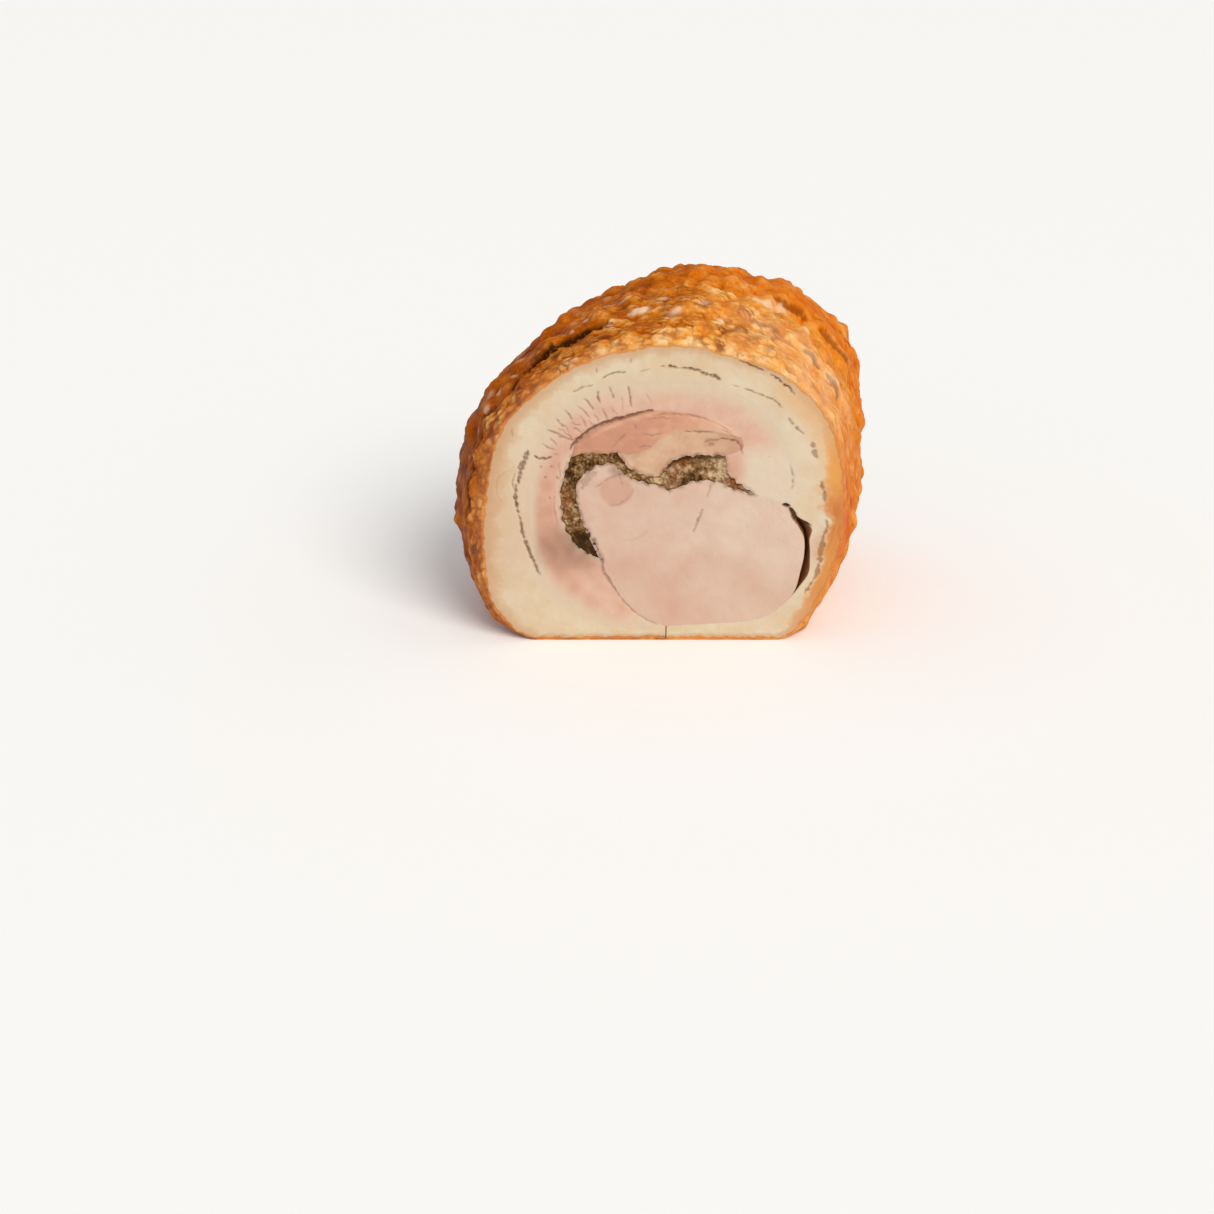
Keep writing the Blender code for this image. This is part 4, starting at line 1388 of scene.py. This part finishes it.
# %% Puffs, crumbs, bubbles and wrinkles
# Crumbs are at home in the front band, smooth lumps behind it on the left, and long wrinkles on
# the right
first = np.interp(turn, FIRST_TURNS, FIRST_DEPTHS)
rear_left = smooth_step(turn, 100.0, 130.0) * smooth_step(depth - first, -1.5, 2.5)
right_side = fade(turn, 35.0, 75.0)
behind = smooth_step(depth, 24.0, 42.0)
crumb_share = (1 - 0.85 * rear_left) * (1 - 0.75 * right_side) * (1 - 0.6 * behind)
crumb_share *= np.clip(0.75 + 1.1 * clouds(arc, depth, 9.0, 60.0), 0.15, 1.0)
wrinkle_share = 0.1 + 0.9 * right_side
rounded = np.clip(0.5 + 1.1 * clouds(arc, depth, 6.5, 131.0), 0.0, 1.0)
puffs = billows(arc, depth, PUFF, 3.0)
puffs += (rounded - puffs) * 0.75 * rear_left
crumbs, crumb_gap, crumb_tone = bubbles(arc, depth, CRUMB, 43.0)
crumb_height = crumbs * (0.25 + 1.1 * crumb_tone) * crumb_share
domes, _, dome_tone = bubbles(arc, depth, BUBBLE, 63.0)
domes *= smooth_step(dome_tone, 0.45, 0.6) * (1 - 0.5 * rear_left) * (1 - 0.4 * right_side)
wrinkles = billows(arc, depth, WRINKLE, 53.0)
fine = PUFF_HEIGHT * puffs + CRUMB_HEIGHT * crumb_height + BUBBLE_HEIGHT * domes
fine += WRINKLE_HEIGHT * wrinkles * wrinkle_share
print("fine relief: up to", round(fine.max(), 1), "mm")

# %% Slits and pale blisters
BLISTER_RAGS = ((0.45, 2.5, 80.0), (0.25, 1.3, 81.0))

slits = strongest([
    (width, strength, [(arc_at(angle), place) for angle, place in points])
    for width, strength, points in STRING_SLITS
], arc, depth, broken=0.4)
rags = layered_clouds(arc, depth, BLISTER_RAGS)
pale = np.zeros(len(arc))
for angle, place, length, width, strength in PALE_BLISTERS_AND_SHEEN:
    away = away_from(arc, depth, (arc_at(angle), place), length / 2, width / 2)
    pale = np.maximum(pale, strength * fade(away + rags, 0.35, 1.15))
on_left = smooth_step(turn, 70.0, 100.0)
print("slits:", len(STRING_SLITS), "and pale blisters:", len(PALE_BLISTERS_AND_SHEEN))

# %% Put the crackling in place
FINE_FLOOR = 1.2
FINE_AT_CUT = 0.45
PALE_HEIGHT = 0.7
SLIT_DEPTH, SLIT_DEEPER_LEFT = 0.7, 0.8
END_FLATTER = 0.6
RIM_STEP = 0.1

edge = EDGE_RELIEF + (1 - EDGE_RELIEF) * grown
relief = old_relief(arc, depth) * edge
relief += (fine - FINE_FLOOR) * (FINE_AT_CUT + (1 - FINE_AT_CUT) * grown)
relief += PALE_HEIGHT * pale * grown - (SLIT_DEPTH + SLIT_DEEPER_LEFT * on_left) * slits
relief *= 1 - END_FLATTER * smooth_step(depth, *END_THIN)
skin = np.where(
    outside[:, None], skin_place(across, up, depth, relief), rind_inside(across, up, depth))
at_cut = flat[:, 2] < 1e-6
rim = skin[at_cut]
skin[at_cut, 1] += cut_relief(rim[:, 0], rim[:, 2], np.zeros(len(rim)))
skin[at_cut, 1] += RIM_STEP * outside[at_cut]
at_end = flat[:, 2] > 1 - 1e-6
skin[at_end, 1] += layered_clouds(across[at_end], up[at_end], END_WAVES[:1]) - END_CREASE
move_points(crackling_mesh, skin)

# %% Paint the crackling
# Directions round the roll, in radians: (place, width)
UPPER_RIGHT = (0.75, 0.45)
RIGHT_FLANK, RIGHT_REAR = (-0.05, 0.45), (0.0, 0.4)
LEFT_FLANK = (3.05, 0.4)
TOP_FRONT, TOP_EDGE, TOP_GOLD = (1.2, 0.7), (1.5, 0.8), (1.45, 0.45)
GOLD_DRIFT = ((0.35, 20.0, 90.0), (0.3, 7.0, 95.0))

# The height mask lightens the tops of puffs, crumbs, bubbles and wrinkles, the right side and the
# top along the cut: partly the crackling's own colour and partly painted highlight where the light
# falls
height = 0.12 + 0.42 * crumb_height + 0.3 * puffs + 0.3 * domes + 0.15 * wrinkles * wrinkle_share
height += 0.35 * rear_left * clouds(arc, depth, 5.0, 130.0) + 0.12 * fade(turn, 60.0, 110.0)
height += 0.12 * round_at(*TOP_FRONT) * fade(depth, 2.0, 8.0)
height += 0.25 * round_at(*TOP_EDGE) * fade(depth, 0.5, 3.0)
golden = 0.02 + 0.95 * fade(turn, 45.0, 140.0) + layered_clouds(arc, depth, GOLD_DRIFT)
golden += 0.25 * fade(depth - first, -4.0, 0.5) * smooth_step(turn, 60.0, 120.0)
golden += 0.5 * round_at(*TOP_GOLD) * fade(depth, 3.0, 9.0)
# Painted shade: darker in the creases between crumbs and wrinkles, in the slits away from the left,
# and over the far left flank behind the first string, which faces away from the light
gaps = np.maximum(crumb_gap * crumb_share, 0.7 * fade(wrinkles, 0.0, 0.2) * wrinkle_share)
gaps *= np.clip(0.6 + 1.2 * clouds(arc, depth, 4.0, 110.0), 0.0, 1.0)
gaps = np.maximum.reduce([
    gaps, 0.95 * slits * (1 - on_left),
    0.45 * round_at(*LEFT_FLANK) * smooth_step(depth - first, 0.0, 3.0),
])
deep = np.maximum.reduce([
    round_at(*RIGHT_FLANK) * (0.9 - 0.55 * smooth_step(depth, 8.0, 16.0)),
    0.55 * round_at(*RIGHT_REAR) * smooth_step(depth, 5.0, 12.0),
    0.6 * fade(turn, 72.0, 100.0) * smooth_step(depth, 40.0, 56.0),
])
deep *= np.clip(0.8 + 0.9 * clouds(arc / 2.2, depth, 3.0, 140.0), 0.25, 1.1)
# Painted highlights: a broad sheen on the upper right, where the light falls, soft glints on the
# lumps at the rear left and on the tops of a few crumbs, and a faint lighter band along the cut;
# they go on with the pale mask
specks = smooth_step(crumb_tone, 0.86, 0.92) * smooth_step(crumbs, 0.55, 0.9) * crumb_share
lump_highlights = smooth_step(dome_tone, 0.72, 0.8) * smooth_step(domes, 0.3, 0.9) * rear_left
sunny = round_at(*UPPER_RIGHT) * fade(depth, 20.0, 36.0) * (1 + clouds(arc, depth, 6.0, 120.0))
light = np.maximum.reduce([
    0.22 * sunny, 0.08 * fade(depth, 1.0, 6.0), 0.4 * lump_highlights, 0.18 * specks,
])
paint(
    crackling_mesh, height=height, golden=golden, pale=np.maximum(pale, light * outside),
    # dark is painted shade deep in the slits on the left, gap is painted shade in creases and on
    # the far left flank, pale carries the blisters and painted highlights
    dark=slits * on_left, gap=gaps * outside, deep=deep,
    cut=~outside * (depth < 0.5 * ROLL_LENGTH),
)

# %% Crackling material
BROWN_STOPS = [
    (0.0, "#5e2500"), (0.3, "#9e4800"), (0.55, "#bc600a"), (0.8, "#d07f35"), (1.0, "#de9f62"),
]
GOLD_STOPS = [
    (0.0, "#b04e00"), (0.3, "#d57410"), (0.55, "#e3902c"), (0.8, "#ebab56"), (1.0, "#f2c488"),
]
PALE_RIND_AND_HIGHLIGHT = "#ebccaa"
CREASE_SHADE_BROWN = "#733003"
DEEP_ORANGE = "#cb5806"
SLIT_SHADE = "#2e1202"
RIND_CUT = "#c8834a"
GREASE_TINT = "#ffa868"


def roast_crackling(name):
    """Puffed, fried rind: hard, glassy and greasy on bubbles, dull between them, with painted shade
    and highlights.
    """
    material, tree, output = new_material(name)
    place = add(tree, "ShaderNodeTexCoord").outputs["Object"]
    height = add(tree, "ShaderNodeAttribute", attribute_name="height").outputs["Fac"]
    speckle = add(tree, "ShaderNodeTexNoise", {
        "Vector": place, "Scale": per_mm(1.6), "Detail": 5.0, "Roughness": 0.7,
    }).outputs["Fac"]
    shifted = add(tree, "ShaderNodeMath", {0: speckle, 1: 0.9, 2: height}, operation="MULTIPLY_ADD")
    level = add(tree, "ShaderNodeMath", {0: shifted.outputs[0], 1: 0.42}, operation="SUBTRACT")
    brown = add(tree, "ShaderNodeValToRGB", {"Fac": level.outputs[0]}, stops=BROWN_STOPS)
    gold = add(tree, "ShaderNodeValToRGB", {"Fac": level.outputs[0]}, stops=GOLD_STOPS)
    golden = add(tree, "ShaderNodeAttribute", attribute_name="golden").outputs["Fac"]
    body = add(tree, "ShaderNodeMix", {
        HOW_MUCH: golden, UNDER: brown.outputs["Color"], OVER: gold.outputs["Color"],
    }, data_type="RGBA").outputs[MIXED]
    body = lay_over(tree, body, (
        ("deep", DEEP_ORANGE), ("gap", CREASE_SHADE_BROWN), ("cut", RIND_CUT), ("pale", PALE_RIND_AND_HIGHLIGHT),
        ("dark", SLIT_SHADE),
    ))
    grit = add(tree, "ShaderNodeTexNoise", {
        "Vector": place, "Scale": per_mm(0.8), "Detail": 3.0, "Roughness": 0.6,
    }).outputs["Fac"]
    bump = add(tree, "ShaderNodeBump", {
        "Height": grit, "Strength": 0.5, "Distance": 0.35 * MM,
    }).outputs["Normal"]
    shine = add(tree, "ShaderNodeMapRange", {
        "Value": grit, "From Min": 0.3, "From Max": 0.7, "To Min": 0.42, "To Max": 0.66,
    }).outputs["Result"]
    surface = add(tree, "ShaderNodeBsdfPrincipled", {
        "Base Color": body, "Roughness": shine, "Normal": bump, "IOR": 1.45,
        "Specular IOR Level": 0.1, "Specular Tint": colour(GREASE_TINT),
    })
    tree.links.new(surface.outputs[0], output.inputs["Surface"])
    return material


finish_piece(crackling_mesh, roast_crackling("roast_crackling"), "fat_cap")

# %% [markdown]
# ## Floor, light and camera
#
# The roast stands on a plain pale floor that runs out of the picture. A broad, slightly warm
# light comes from the upper right in front, and the white room fills the rest, so the left
# flank of the roll goes a shade darker. The camera stands where the photograph was taken
# from: 25 degrees above the table and square on to the cut face.

# %% Floor
FLOOR_HALF = 6.0
FLOOR_DROP = 0.2 * MM
FLOOR_WHITE = "#fdfdfc"


def pale_floor(name):
    """A smooth painted board, almost white and without gloss."""
    material, tree, output = new_material(name)
    surface = add(tree, "ShaderNodeBsdfPrincipled", {
        "Base Color": colour(FLOOR_WHITE), "Roughness": 0.8,
    })
    tree.links.new(surface.outputs[0], output.inputs["Surface"])
    return material


shape = bmesh.new()
bmesh.ops.create_grid(
    shape, x_segments=1, y_segments=1, size=FLOOR_HALF,
    matrix=Matrix.Translation((0, 0, -FLOOR_DROP)),
)
floor_mesh = bpy.data.meshes.new("floor")
shape.to_mesh(floor_mesh)
shape.free()
floor_mesh.materials.append(pale_floor("painted_board"))
floor = bpy.data.objects.new("floor", floor_mesh)
bpy.context.scene.collection.objects.link(floor)
floor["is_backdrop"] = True

# %% Light
KEY_TURN = (math.radians(48), 0.0, math.radians(33))
KEY_SPREAD = math.radians(35)
KEY_POWER = 2.1
KEY_COLOUR = "#fffaf3"
ROOM_COLOUR = "#fbfcfd"
ROOM_POWER = 0.55

sun = bpy.data.lights.new("key", "SUN")
sun.angle = KEY_SPREAD
sun.energy = KEY_POWER
sun.color = colour(KEY_COLOUR)[:3]
key = bpy.data.objects.new("key", sun)
key.rotation_euler = KEY_TURN
bpy.context.scene.collection.objects.link(key)

world = bpy.data.worlds.new("studio")
world.use_nodes = True
room = world.node_tree.nodes["Background"]
room.inputs["Color"].default_value = colour(ROOM_COLOUR)
room.inputs["Strength"].default_value = ROOM_POWER
bpy.context.scene.world = world
bpy.context.scene.view_settings.view_transform = "Standard"
print("key light turned by", [round(math.degrees(turned)) for turned in KEY_TURN], "degrees")

# %% Camera
CAMERA_PLACE = (-20.0, -615.0, 308.0)
CAMERA_PITCH = 25.5
LENS_LENGTH = 50.0
SENSOR_WIDTH = 36.0

lens = bpy.data.cameras.new("camera")
lens.lens = LENS_LENGTH
lens.sensor_width = SENSOR_WIDTH
camera = bpy.data.objects.new("camera", lens)
camera.location = in_frame(np.array(CAMERA_PLACE))
camera.rotation_euler = (math.radians(90 - CAMERA_PITCH), 0, 0)
bpy.context.scene.collection.objects.link(camera)
bpy.context.scene.camera = camera
print("camera at", [round(place, 3) for place in camera.location], "m")

# %% [markdown]
# ## Check the size and finish
#
# The dressed roast has to stay in the CAD model's box, apart from a few millimetres of
# crackling. How far each corner has moved from the CAD box is printed, so that the two can be
# compared.

# %% Print how far the corners moved, and finish
low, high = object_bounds()
for title, cad, now in (("low", cad_low, low), ("high", cad_high, high)):
    print(title, "corner moved by", [round((b - a) / MM, 1) for a, b in zip(cad, now)], "mm")
